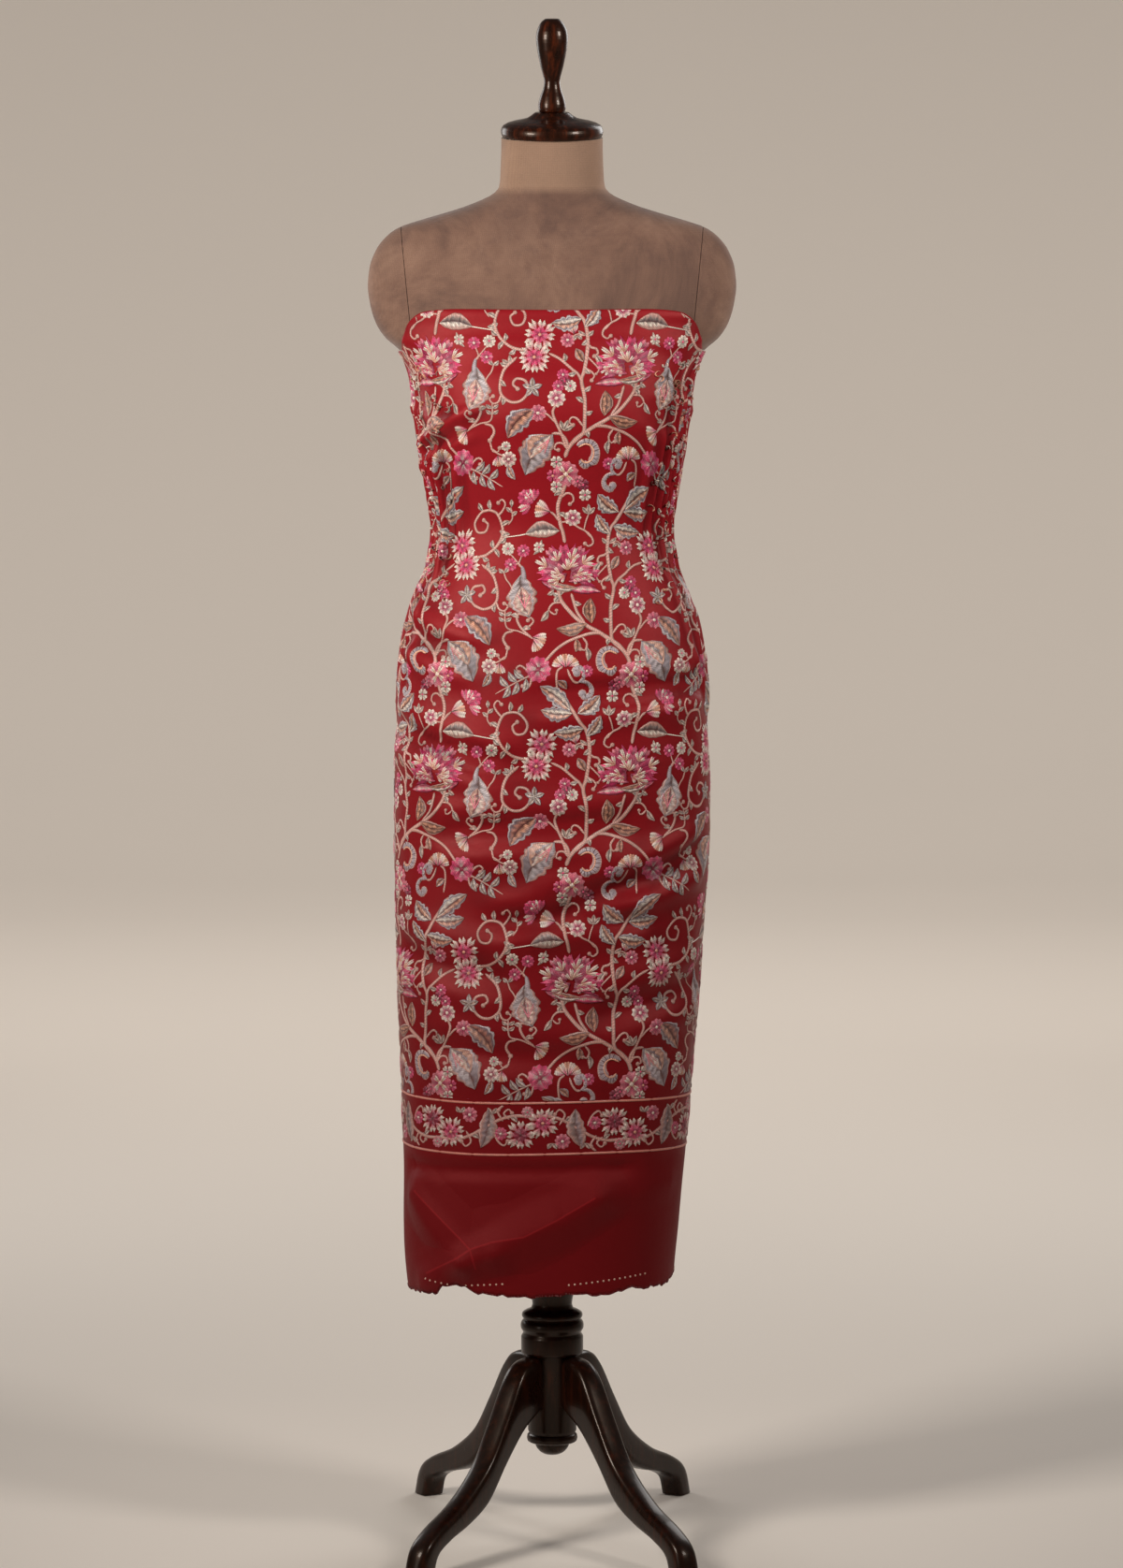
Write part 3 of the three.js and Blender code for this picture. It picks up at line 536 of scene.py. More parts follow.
# The cloth is one length of plain-woven red silk, wrapped once round the form from the centre back, with one end
# lapped over the other there. Its upper edge is turned in, its sides are drawn in at the waist in loose gathers,
# and its plain end hangs below the embroidery with pressed creases.
cloth_rows = np.array([
    # height, half width, depth forwards, depth backwards, squareness of the outer face
    (255, 145, 105.5, 111.5, 2.35), (300, 149, 106.5, 113, 2.35), (360, 153, 108, 115, 2.35),
    (430, 156.5, 109, 117, 2.35), (500, 160.5, 110, 119, 2.35), (600, 166.5, 111.5, 122.5, 2.3),
    (700, 171, 112.5, 127, 2.3), (800, 174.5, 113.5, 130, 2.3), (860, 174, 113.5, 129.5, 2.3),
    (900, 171.5, 113, 126, 2.3), (960, 168.5, 109.5, 117, 2.3), (1010, 162, 103.5, 108, 2.3),
    (1050, 151, 98.5, 101, 2.25), (1085, 134, 94.5, 96, 2.2), (1124, 126, 92.5, 93.5, 2.2),
    (1170, 132, 100.5, 94.5, 2.25), (1215, 139.5, 113.5, 98, 2.35), (1255, 145, 121.5, 102, 2.4),
    (1290, 153.5, 116.5, 105, 2.4), (1308, 162, 109, 106, 2.35), (1322, 171.5, 104.5, 106, 2.25),
    (1336, 187, 101, 105, 2.15), (1352, 197, 97.5, 104.5, 2.1), (1372, 203, 92.5, 103.5, 2.1),
    (1392, 205.5, 87, 102, 2.1),
])
drift = np.array([
    # height, how far the cloth's middle hangs to the side
    (255, -13.5), (310, -13.5), (360, -12), (430, -8.5), (500, -6.5), (600, -4.5), (700, -2.5), (800, 0), (1400, 0),
])
top_edge = np.array([
    # angle from the centre front, height
    (-180, 1350), (-140, 1350), (-128, 1342), (-118, 1328), (-104, 1320), (-78, 1320), (-66, 1327), (-59, 1337),
    (-51, 1353), (-42, 1363.5), (-30, 1366), (0, 1365), (30, 1366), (42, 1363.5), (51, 1353), (59, 1337),
    (66, 1327), (78, 1320), (104, 1320), (118, 1328), (128, 1342), (140, 1350), (180, 1350),
])
low_edge = np.array([
    (-180, 286), (-120, 287), (-88, 283), (-66, 284), (-56, 285.5), (-47, 285), (-43, 293.5), (-36, 297), (-30, 297),
    (-26, 290), (-18, 288.5), (-3, 286), (6, 288), (13, 289.5), (22, 287), (30, 289), (36, 292), (41, 294), (46, 290.5),
    (55, 292), (66, 291), (76, 295), (88, 300), (110, 295), (140, 289), (180, 286),
])
folds = [
    # angle and height where a ridge starts and ends, how high it stands (less than nothing is a trough), width
    # loose bunching below the shoulder cap on the viewer's left
    (-66, 1345, 66, 1345, -2.4, 9), (-68, 1228, -40, 1251, 8.5, 6), (-66, 1216, -46, 1228, -4, 5),
    (-92, 1262, -58, 1243, 3, 7),
    (-88, 1196, -60, 1188, 2.4, 8), (40, 1236, 72, 1216, 2.5, 10), (50, 1272, 84, 1258, 2.2, 8),
    # troughs dragged across the hips and thighs
    (-68, 1012, -34, 990, -5.5, 12), (4, 946, 64, 958, -6.5, 13), (-72, 908, -18, 872, -6, 14),
    (-34, 796, 16, 804, -5.5, 15), (6, 722, 60, 770, -7, 14), (-10, 702, 28, 704, -5, 12),
    (-62, 664, -16, 640, -5, 17), (20, 602, 68, 630, -5, 17), (-40, 560, 10, 548, -3.5, 15),
    # the back
    (140, 900, 188, 876, -6, 15), (176, 760, 232, 786, -6, 15), (128, 600, 172, 640, -5, 17),
]
gathers = [
    # angle and height of the lower end, then of the upper end, height of the ridge, half its width
    (-112, 1040, -113, 1290, 6, 7), (-105, 1070, -103, 1280, 6.5, 4.5), (-98, 1045, -99, 1300, 8, 4.2),
    (-92, 1080, -91, 1306, 7, 3.6), (-86.5, 1050, -88, 1312, 8.5, 4), (-81, 1090, -79.5, 1296, 7, 3.2),
    (-76, 1060, -77, 1270, 8.5, 3.6), (-70.5, 1075, -69, 1240, 8, 3.4), (-64.5, 1050, -62, 1236, 9, 4),
    (-58.5, 1095, -57.5, 1190, 5, 3.4), (-53, 1110, -49, 1200, 3.5, 4), (-95, 900, -93, 1060, 4, 7),
    (-84, 940, -86, 1075, 4, 6), (-74, 930, -78, 1080, 3.6, 6), (-65, 960, -68, 1075, 3, 5),
    (48, 1110, 46, 1230, 3.5, 4), (54, 1080, 56, 1250, 5, 3.6), (60, 1100, 62, 1290, 8, 3.4),
    (66, 1050, 65, 1312, 8.5, 3.6),
    (71.5, 1085, 73, 1296, 7.5, 3.2), (77, 1055, 76, 1325, 8.5, 3.8), (83, 1075, 84.5, 1318, 7, 3.4),
    (89, 1045, 88, 1312, 8.5, 4), (95, 1080, 97, 1300, 7, 3.8), (101, 1050, 100, 1285, 7.5, 4.4),
    (110, 1045, 113, 1290, 6, 7),
    (78, 930, 76, 1070, 4, 6), (90, 910, 88, 1060, 4.2, 7), (68, 955, 65, 1070, 3, 5),
    (-134, 1080, -130, 1260, 4, 8), (134, 1070, 131, 1250, 4, 8),
]
creases = [
    # pressed creases of the plain end: angle and height of each end, height, half its width
    (-66, 392, -30, 322, 5.5, 26), (-58, 292, -30, 322, 5, 22), (-30, 322, -16, 334, 6.5, 26),
    (-16, 334, 20, 396, 6.5, 30),
    (-66, 424, 30, 428, -5, 12), (20, 396, 62, 408, 2.6, 24), (132, 300, 176, 384, 5.5, 28),
    (176, 384, 236, 366, 5, 28),
]


def fold_height(angle, height):
    """How far the cloth stands out from its smooth outline, in millimetres."""
    girth = 145.0  # the radius at which an angle of the tables is a length
    total = np.zeros(np.broadcast(angle, height).shape)
    for k, (start_angle, start_z, end_angle, end_z, rise, width) in enumerate(folds + gathers + creases):
        at = start_angle + (angle - start_angle + 180) % 360 - 180
        start = np.array([math.radians(start_angle) * girth, start_z])
        along = np.array([math.radians(end_angle) * girth, end_z]) - start
        length = np.hypot(*along)
        along /= length
        a, b = np.radians(at) * girth - start[0], height - start[1]
        travelled = a * along[0] + b * along[1]
        beyond = np.maximum(0, np.maximum(-travelled, travelled - length))
        across = a * along[1] - b * along[0]
        if k >= len(folds) + len(gathers):
            # the cloth stands in flat planes on both sides of a pressed crease
            tent = np.sqrt((across / width) ** 2 + 0.003)
            total += rise * np.clip(1.05 - tent, 0, 1) * np.clip(1 - beyond / 26, 0, 1) ** 1.5
        elif k >= len(folds):
            share = np.clip(travelled / length, 0, 1)
            fade = np.clip(share * (1 - share) * 6, 0, 1)
            total += rise * fade * np.exp(-((across / width) ** 2)) * (beyond == 0)
        else:
            end = np.exp(-((beyond / 22) ** 2))
            total += rise * np.exp(-((across / width) ** 2)) * end
            if rise < 0:
                for s in (-1, 1):
                    total -= 0.95 * rise * np.exp(-(((across - 1.7 * s * width) / (1.1 * width)) ** 2)) * end
    return total


def lap_degrees(height):
    return 18 + 15 * np.exp(-(((height - 1124) / 110) ** 2))


# columns run from the over end, round the front, to the under end; rows run from the raw edge to the top
evenly = np.linspace(-1, 1, 4001)
crowd = np.cumsum(1 + 1.5 * np.exp(-(((np.abs(evenly) * 203 - 80) / 22) ** 2)))
column_share = np.interp(np.linspace(crowd[0], crowd[-1], 241), crowd, evenly)
column_share[120] = 0
row_share = np.concatenate([np.linspace(0, 0.988, 200), [0.9925, 0.996, 0.9985, 1.0]])
raw_edge, upper_edge = 286, 1366
nominal = raw_edge + row_share * (upper_edge - raw_edge)
angle = column_share[:, None] * (180 + lap_degrees(nominal)[None, :])
wrapped = (angle + 540) % 360 - 180
low_z = eased(low_edge, wrapped)[..., 0] + 0.9 * np.sin(wrapped * 0.86) + 0.7 * np.sin(wrapped * 1.53 + 2)
high_z = eased(top_edge, wrapped)[..., 0]
height = low_z + row_share * (high_z - low_z)
sheet = outline(cloth_rows, angle, height)
sheet[..., 0] += eased(drift, height)[..., 0]


def normals_of(grid):
    across, up = np.gradient(grid, axis=0), np.gradient(grid, axis=1)
    facing = np.cross(across, up)
    return facing / (np.linalg.norm(facing, axis=-1, keepdims=True) + 1e-12)


outward = normals_of(sheet)
room = eased(cloth_rows, height)[..., 0] - eased(form_rows, height)[..., 0] - 1.5
form_foot = 674  # above this height the cloth lies on the form, and a trough is no deeper than the room there
least = np.where(height > form_foot, np.minimum(0, 1.1 - room), -50)
stand_off = np.maximum(fold_height(wrapped, height), least)
over = np.clip((np.abs(angle) - 122) / 20, 0, 1) * (angle < 0)
stand_off += 2.0 * over * over * (3 - 2 * over)
# small slack all over, stronger in the hanging part
slack = np.sin(height / 31 + wrapped / 9) * np.sin(wrapped / 13 - height / 57 + 1.3)
stand_off += slack * np.where(height < 700, 0.55, 0.12)
sheet = sheet + outward * stand_off[..., None]
# how far each point lies below the cloth on both its sides, from 0 to 1: the silk and its threads are painted darker
# there, as shade in the folds
hollow = np.zeros_like(stand_off)
for k in (2, 3, 4):
    beside = np.pad(stand_off, ((k, k), (0, 0)), "edge")
    hollow = np.maximum(hollow, np.clip((0.5 * (beside[: -2 * k] + beside[2 * k :]) - stand_off) / 4.4, 0, 1))
hollow = hollow * np.clip((height - 450) / 80, 0, 1)  # the plain end is left even
# the upper edge is turned in over the form
roll = np.clip((row_share - 0.9895) / 0.0105, 0, 1)
sheet = sheet - outward * (0.9 * roll**2)[None, :, None]


def grid_mesh(name, grid):
    """A mesh over a grid of points in millimetres, first index to the viewer's right on the front."""
    wide, tall = grid.shape[:2]
    index = np.arange(wide * tall).reshape(wide, tall)
    faces = np.stack([index[:-1, :-1], index[1:, :-1], index[1:, 1:], index[:-1, 1:]], -1).reshape(-1, 4)
    mesh = bpy.data.meshes.new(name)
    mesh.from_pydata((grid.reshape(-1, 3) / 1000).tolist(), [], faces.tolist())
    mesh.polygons.foreach_set("use_smooth", [True] * len(mesh.polygons))
    body = bpy.data.objects.new(name, mesh)
    bpy.context.collection.objects.link(body)
    return body


silk, shade, join = finish_named("cloth_silk", 0.42, Anisotropic=0.35)
silk.node_tree.nodes["Principled BSDF"].inputs["Specular IOR Level"].default_value = 0.36
silk.node_tree.nodes["Principled BSDF"].inputs["Specular Tint"].default_value = (1, 0.3, 0.28, 1)
place = shade.node("ShaderNodeTexCoord", {}, {}, 3)
x, y, z = (shade.node("ShaderNodeSeparateXYZ", {}, {"Vector": place}, k) for k in range(3))
slub = shade.node("ShaderNodeTexNoise", {}, {"Vector": place, "Scale": 380.0, "Detail": 2.0})
tone = shade.node("ShaderNodeTexNoise", {}, {"Vector": place, "Scale": 7.0, "Detail": 4.0})
weft = shade.math("SINE", z * 7800.0 + slub * 5.0)
warp = shade.math("SINE", x * 7800.0 + slub * 5.0)
weave = weft * 0.3 + warp * 0.3 + slub
red = shade.mix(tone, colour(146, 24, 32), colour(130, 17, 25))
# the plain end is duller, as it isn't drawn tight by the stitching: rougher, and painted darker as shade of the light
# falling off towards the hem
plain = shade.node("ShaderNodeMapRange", {"interpolation_type": "SMOOTHSTEP"},
                   {"Value": z, "From Min": 0.425, "From Max": 0.455, "To Min": 1.0, "To Max": 0.0})
# darker lower down: painted shade of the light falling off towards the hem
lower = shade.node("ShaderNodeMapRange", {},
                   {"Value": z, "From Min": 0.45, "From Max": 1.15, "To Min": 0.7, "To Max": 0.0})
painted_shade_below = shade.mix(lower, red, colour(84, 5, 8))
ground = shade.mix(plain * 0.78, painted_shade_below, colour(100, 5, 11))
# painted shade in the fold hollows: the silk darkens where the cloth lies below its neighbours
fold_shade_share = shade.node("ShaderNodeAttribute", {"attribute_name": "hollow"}, {}, 2)
painted_fold_shade = shade.mix(fold_shade_share * 0.72, ground, colour(36, 2, 4))
shown = shade.mix(weave * 0.22, painted_fold_shade, colour(84, 4, 12))
# the pressed creases of the plain end have sharp crests, each with a thin painted highlight along it: rows of x and
# height of their ends, rise, half width
pressed, painted_crest_highlight = 0.0, 0.0
for a, b, c, d, rise, wide in (
    (-152, 397, -90, 339, 5, 34), (-90, 339, -138, 308, 4, 26), (-90, 339, -67, 348, 5.5, 38),
    (-67, 348, -31, 354, 5.5, 40), (-31, 354, 2, 371, 5.5, 42), (2, 371, 47, 397, 4, 40), (-90, 339, -84, 318, 2.5, 20),
):
    long = ((c - a) ** 2 + (d - b) ** 2) / 1e6
    from_x, from_z = x - a / 1000, z - b / 1000
    share = shade.node("ShaderNodeClamp", {}, {"Value": (from_x * ((c - a) / 1000) + from_z * ((d - b) / 1000)) / long})
    off_x, off_z = from_x - share * ((c - a) / 1000), from_z - share * ((d - b) / 1000)
    away = shade.math("SQRT", off_x * off_x + off_z * off_z)
    pressed = shade.math("MAXIMUM", pressed, (1.0 - away * (1000 / wide)) * (rise / 1000))
    painted_crest_highlight = shade.math("MAXIMUM", painted_crest_highlight, 1.0 - away * 650.0)
ahead = shade.node("ShaderNodeClamp", {}, {"Value": y * -60.0})
threads = shade.node("ShaderNodeMapping", {}, {"Vector": place, "Scale": (1, 1, 60)})
barred = shade.node("ShaderNodeTexNoise", {}, {"Vector": threads, "Scale": 9.0, "Detail": 3.0, "Roughness": 0.7})
shown = shade.mix(barred * 0.16, shown, colour(70, 3, 10))
# a painted highlight along the crests of the pressed creases, on the front
shown = shade.mix(painted_crest_highlight * ahead * plain * 0.2, shown, colour(190, 44, 50))
folded = shade.node("ShaderNodeBump", {}, {"Strength": 1.0, "Distance": 1.0, "Height": pressed * ahead})
relief = shade.node("ShaderNodeBump", {}, {"Strength": 0.22, "Distance": 0.0004, "Height": weave, "Normal": folded})
join(Base_Color=shown, Roughness=0.36 + slub * 0.14 + plain * 0.16, Normal=relief)

cloth = grid_mesh("dress_cloth", sheet)
cloth.data.attributes.new("hollow", "FLOAT", "POINT").data.foreach_set("value", hollow.ravel())
cloth.data.materials.append(silk)
bpy.ops.object.select_all(action="DESELECT")
bpy.context.view_layer.objects.active = cloth
cloth.select_set(True)
wall = cloth.modifiers.new("wall", "SOLIDIFY")
wall.thickness, wall.offset = 0.0006, -1
bpy.ops.object.modifier_apply(modifier="wall")
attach(cloth, "form")
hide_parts("cloth_front", "cloth_back_under", "cloth_back_over")

# The flowering vines are embroidered by machine in glossy rayon: satin-stitched stems, leaves and petals, each a
# low mound of thread on the silk. One repeat is charted flat, in millimetres from its big flower's centre, and is
# laid over the cloth row by row, every other row mirrored.
chart_step = 2.5
chart_z = np.arange(284.0, 1368.0, chart_step)
chart_u = np.arange(-640.0, 640.0, chart_step)
laid = np.zeros((len(chart_z), len(chart_u), 3))
laid_fold_shade = np.zeros((len(chart_z), len(chart_u)))
chart_top = np.zeros(len(chart_u))
chart_low = np.zeros(len(chart_u))
ends = np.zeros((len(chart_z), 2))
middle = len(column_share) // 2
for row, level in enumerate(chart_z):
    share = (np.clip(level, low_z, high_z)[:, 0] - low_z[:, 0]) / (high_z - low_z)[:, 0]
    at = np.interp(share, row_share, np.arange(len(row_share)))
    lower = np.minimum(at.astype(int), len(row_share) - 2)
    part = (at - lower)[:, None]
    who = np.arange(len(column_share))
    line = sheet[who, lower] * (1 - part) + sheet[who, lower + 1] * part
    run = np.concatenate([[0], np.cumsum(np.linalg.norm(np.diff(line, axis=0)[:, :2], axis=1))])
    run -= run[middle]
    ends[row] = run[0], run[-1]
    for axis in range(3):
        laid[row, :, axis] = np.interp(chart_u, run, line[:, axis])
    laid_fold_shade[row] = np.interp(chart_u, run, hollow[who, lower])
    if row in (0, len(chart_z) - 1):
        edge = sheet[:, 0 if row == 0 else -1, 2]
        (chart_low if row == 0 else chart_top)[:] = np.interp(chart_u, run, edge)
laid_up, laid_across = np.gradient(laid, axis=0), np.gradient(laid, axis=1)
laid_out = np.cross(laid_across, laid_up)
laid_out /= np.linalg.norm(laid_out, axis=-1, keepdims=True) + 1e-12


def on_cloth(flat, lift):
    """Points of the chart (across, height) as they lie on the draped cloth, raised by the lift, in millimetres."""
    a = np.clip((flat[:, 0] - chart_u[0]) / chart_step, 0, len(chart_u) - 1.001)
    b = np.clip((flat[:, 1] - chart_z[0]) / chart_step, 0, len(chart_z) - 1.001)
    i, j = a.astype(int), b.astype(int)
    s, t = (a - i)[:, None], (b - j)[:, None]

    def between(values):
        low = values[j, i] * (1 - s) + values[j, i + 1] * s
        return low * (1 - t) + (values[j + 1, i] * (1 - s) + values[j + 1, i + 1] * s) * t

    places = between(laid) + between(laid_out) * lift[:, None]
    # no thread stands above the turned upper edge
    places[:, 2] = np.minimum(places[:, 2], np.interp(flat[:, 0], chart_u, chart_top))
    return places


taupe, stone, grey = (206, 157, 144), (96, 60, 51), (166, 154, 160)
peach, cream, pink = (240, 174, 142), (252, 232, 216), (234, 72, 122)
magenta, rose, shadow = (156, 20, 64), (238, 132, 148), (80, 24, 30)
silver, mauve = (206, 194, 196), (188, 40, 92)
chart = {"stems": [], "leaves": [], "flowers": [], "border": []}
chance = np.random.default_rng(7)


def stitch(group, points, lift, shades, run, across):
    """Adds a grid of charted points with their heights, thread colours and places along and across the stitches."""
    points = np.asarray(points, float)
    tall, wide = points.shape[:2]
    full = lambda values: np.broadcast_to(np.asarray(values, float), (tall, wide)).reshape(-1)
    tones = np.broadcast_to(np.asarray(shades, float), (tall, wide, 3)).reshape(-1, 3)
    tones = tones * (1 + chance.uniform(-0.07, 0.07, (len(tones), 1)))
    index = np.arange(tall * wide).reshape(tall, wide)
    faces = np.stack([index[:-1, :-1], index[:-1, 1:], index[1:, 1:], index[1:, :-1]], -1).reshape(-1, 4)
    steps = points[1, wide // 2] - points[0, wide // 2], points[0, -1] - points[0, 0]
    if wide > 1 and steps[1][0] * steps[0][1] - steps[1][1] * steps[0][0] < 0:
        faces = faces[:, ::-1]
    chart[group].append((points.reshape(-1, 2), full(lift), tones, np.stack([full(run), full(across)], -1), faces))


def vine(points, wide=2.6, narrow=None, tone=taupe, height=0.55, edge=stone, group="stems"):
    """A satin-stitched stem through the points."""
    points = np.array(points, float)
    narrow = wide if narrow is None else narrow
    length = np.hypot(*np.diff(points, axis=0).T).sum()
    line = through(points, max(3, int(length / 2.6)))
    ahead = np.gradient(line, axis=0)
    ahead /= np.linalg.norm(ahead, axis=1, keepdims=True) + 1e-9
    side = np.stack([-ahead[:, 1], ahead[:, 0]], -1)
    share = np.linspace(0, 1, len(line))[:, None]
    half = (wide + (narrow - wide) * share) * 0.57
    near = np.minimum(share, 1 - share) * length
    half = half * np.sqrt(np.clip(near / half + 0.12, 0, 1))
    across = np.array([-1, -0.55, 0, 0.55, 1])
    lifts = np.array([-0.12, 0.8, 1, 0.8, -0.12]) * height
    # the middle of the stem is a little lighter: a painted highlight on the crown of the mound
    tones = np.array([edge, tone, np.array(tone) * 1.08, tone, edge], float)
    grid = line[:, None] + side[:, None] * (across[None, :] * half)[..., None]
    stitch(group, grid, lifts[None, :], np.minimum(tones, 255)[None], share * length, across * 1.6)


def dot(centre, radius, tone, height=0.8, rim=None, group="stems"):
    """A round knot of thread."""
    turn = np.linspace(0, 2 * np.pi, 9)
    rings = np.array([1.0, 0.7, 0.0])[:, None]
    grid = np.stack([rings * np.cos(turn), rings * np.sin(turn)], -1) * radius + np.array(centre, float)
    tones = np.array([tone if rim is None else rim, tone, tone], float)[:, None]
    lifts = np.array([-0.1, 0.75, 1.0])[:, None] * height
    stitch(group, grid, lifts, tones, rings * radius, turn * radius)


def curl(points, wide=2.5, narrow=1.8, knob=2.5, tone=taupe, group="stems"):
    """A tendril that ends in a knob."""
    vine(points, wide, narrow, tone, group=group)
    dot(points[-1], knob, tone, 0.7, stone, group)


def leaf(base, tip, wide, inner=peach, outer=grey, bend=0.12, teeth=0.0, rows=9, height=0.75, rib=shadow,
         group="leaves", far=None, rim=None):
    """A leaf of two lobes along a rib: slanting stitches, a rim of one thread and a fill of another or two."""
    base, tip = np.array(base, float), np.array(tip, float)
    along = tip - base
    long = np.hypot(*along)
    side = np.array([-along[1], along[0]]) / long
    share = np.linspace(0, 1, rows)
    line = base + along * share[:, None] + side * (bend * long * 4 * share * (1 - share))[:, None]
    half = wide * 0.54 * np.sin(np.pi * share**0.8) ** 0.8 + 0.3
    half = half * (1 - 1.7 * teeth * (1 - np.abs(np.sin(np.pi * 4 * share + 0.5))))
    # the inner thread reaches out between the outer ones in uneven points
    point = np.array([0.5, 0.14, 0.32])[np.arange(rows) % 3] if teeth else np.full(rows, 0.45)
    even = np.ones(rows)
    across = np.stack([-even, -0.86 * even, -0.72 * even, -point, 0 * even, point, 0.72 * even, 0.86 * even, even], -1)
    lifts = np.array([-0.15, 0.75, 0.9, 1, 0.35, 1, 0.9, 0.75, -0.15]) * height
    inner, outer, rim = np.array(inner, float), np.array(outer, float), np.array(outer if rim is None else rim, float)
    far = inner * 0.84 if far is None else np.array(far, float)
    tones = np.array([rim * 0.6, rim, outer, inner, rib, far, outer * 0.92, rim, rim * 0.5])
    stripes = np.ones((rows, 9, 1))
    stripes[1::2, 2:7] = 0.78
    grid = line[:, None] + side * (across * half[:, None])[..., None]
    grid = grid + (along / long) * (0.5 * np.abs(across) * half[:, None] * (1 - share[:, None]))[..., None]
    run = share[:, None] * long + np.abs(across) * wide * 0.35
    stitch(group, grid, lifts[None], tones[None] * stripes, run, across * 2)


def petal(centre, turn, start, end, wide, root=pink, tip=cream, notch=0.16, rim=None, height=0.8, rows=6,
          group="flowers"):
    """A petal that points away from the centre at an angle in degrees, notched at its tip."""
    turn = math.radians(turn)
    out, side = np.array([math.cos(turn), math.sin(turn)]), np.array([-math.sin(turn), math.cos(turn)])
    share = np.linspace(0, 1, rows)
    across = np.array([-1, -0.66, 0, 0.66, 1])
    half = wide / 2 * np.sin(np.pi * (0.06 + 0.7 * share) ** 1.2)
    far = start + (end - start) * share[:, None] * (1 - notch * np.array([0.9, 0, 1, 0, 0.9])[None, :] * share[:, None])
    grid = np.array(centre, float) + out * far[..., None] + side * (across[None] * half[:, None])[..., None]
    lifts = np.array([-0.15, 0.9, 0.6, 0.9, -0.15]) * height * np.where(np.arange(rows) == rows - 1, 0.2, 1)[:, None]
    root, tip = np.array(root, float), np.array(tip, float)
    tones = root + (tip - root) * (np.clip(share * 2.2 - 0.4, 0, 1))[:, None, None] * np.ones((1, 5, 1))
    edge = tip * 0.78 if rim is None else np.array(rim, float)
    tones[:, [0, 4]] = edge
    # the middle line, where the petal dips between its two halves, is darker: painted shade
    tones[:, 2] = tones[:, 2] * 0.72
    stitch(group, grid, lifts, tones, far, across * 2)


def rosette(centre, radius, tone=pink, heart=cream, petals=5, turn=90, tip=None, group="flowers"):
    """A small flower: round petals about a knot."""
    radius = radius * 1.22
    for k in range(petals):
        petal(centre, turn + k * 360 / petals, radius * 0.14, radius, radius * 1.05, np.array(tone) * 0.82,
              tip or tone, 0.14, np.array(tone) * 0.6, rows=5, group=group)
    dot(centre, radius * 0.24, heart, 1.15, np.array(heart) * 0.8, group)


def daisy(centre, radius, petals=8, turn=0, heart=pink, group="flowers"):
    """A cream daisy of notched petals, set apart, round a pink eye."""
    radius = radius * 1.18
    for k in range(petals):
        petal(centre, turn + k * 360 / petals, radius * 0.38, radius * (0.92 + 0.12 * (k % 2)), radius * 0.52, rose,
              cream, 0.4, (140, 76, 74), group=group)
    for k in range(6):
        petal(centre, turn + 30 + k * 60, 0, radius * 0.48, radius * 0.46, magenta, heart, 0.14, magenta, 1.15, 4,
              group)
    dot(centre, radius * 0.13, peach if heart is pink else shadow, 1.4, rose, group)


def reached(foot, turn, length):
    """The point at this length from the foot, in a direction in degrees."""
    turn = math.radians(turn)
    return foot[0] + length * math.cos(turn), foot[1] + length * math.sin(turn)


def leaflet(base, tip, wide=5.0, bend=0.0, rows=5, group="stems"):
    """A small plain leaf in the stems' thread."""
    leaf(base, tip, wide, cream, taupe, bend, 0, rows, 0.6, stone, group)


def tulip(foot, turn, length, group="flowers"):
    """A bud on its stem: three striped petals in a cup."""
    for spread, tone, tip in ((-26, rose, cream), (26, pink, cream), (0, cream, peach)):
        petal(foot, turn + spread, 0.5, length, length * 0.5, tone, tip, 0.05, magenta, 0.85, group=group)
    vine([foot, reached(foot, turn, 0.5 * length)], 2.8, 0.8, stone, 1.0, group=group)


def pair(foot, turn, length=9, wide=4.6, spread=42, group="stems"):
    """Two small leaflets from one point."""
    for s in (-1, 1):
        leaflet(foot, reached(foot, turn + s * spread, length), wide, 0.1 * s, group=group)


def sprouts(points, every=21.0, first=1, length=9.5, wide=5, group="stems"):
    """Leaflets that spring from a stem, left and right by turns."""
    line = through(points, 60)
    run = np.concatenate([[0], np.cumsum(np.hypot(*np.diff(line, axis=0).T))])
    for k, place in enumerate(np.arange(every * 0.6, run[-1] - 6, every)):
        foot = np.array([np.interp(place, run, line[:, axis]) for axis in (0, 1)])
        further = np.array([np.interp(place + 2, run, line[:, axis]) for axis in (0, 1)])
        way = math.atan2(*(further - foot)[::-1]) + first * (0.85 if k % 2 else -0.85)
        leaflet(foot, reached(foot, math.degrees(way), length), wide, 0.14 if k % 2 else -0.14, group=group)


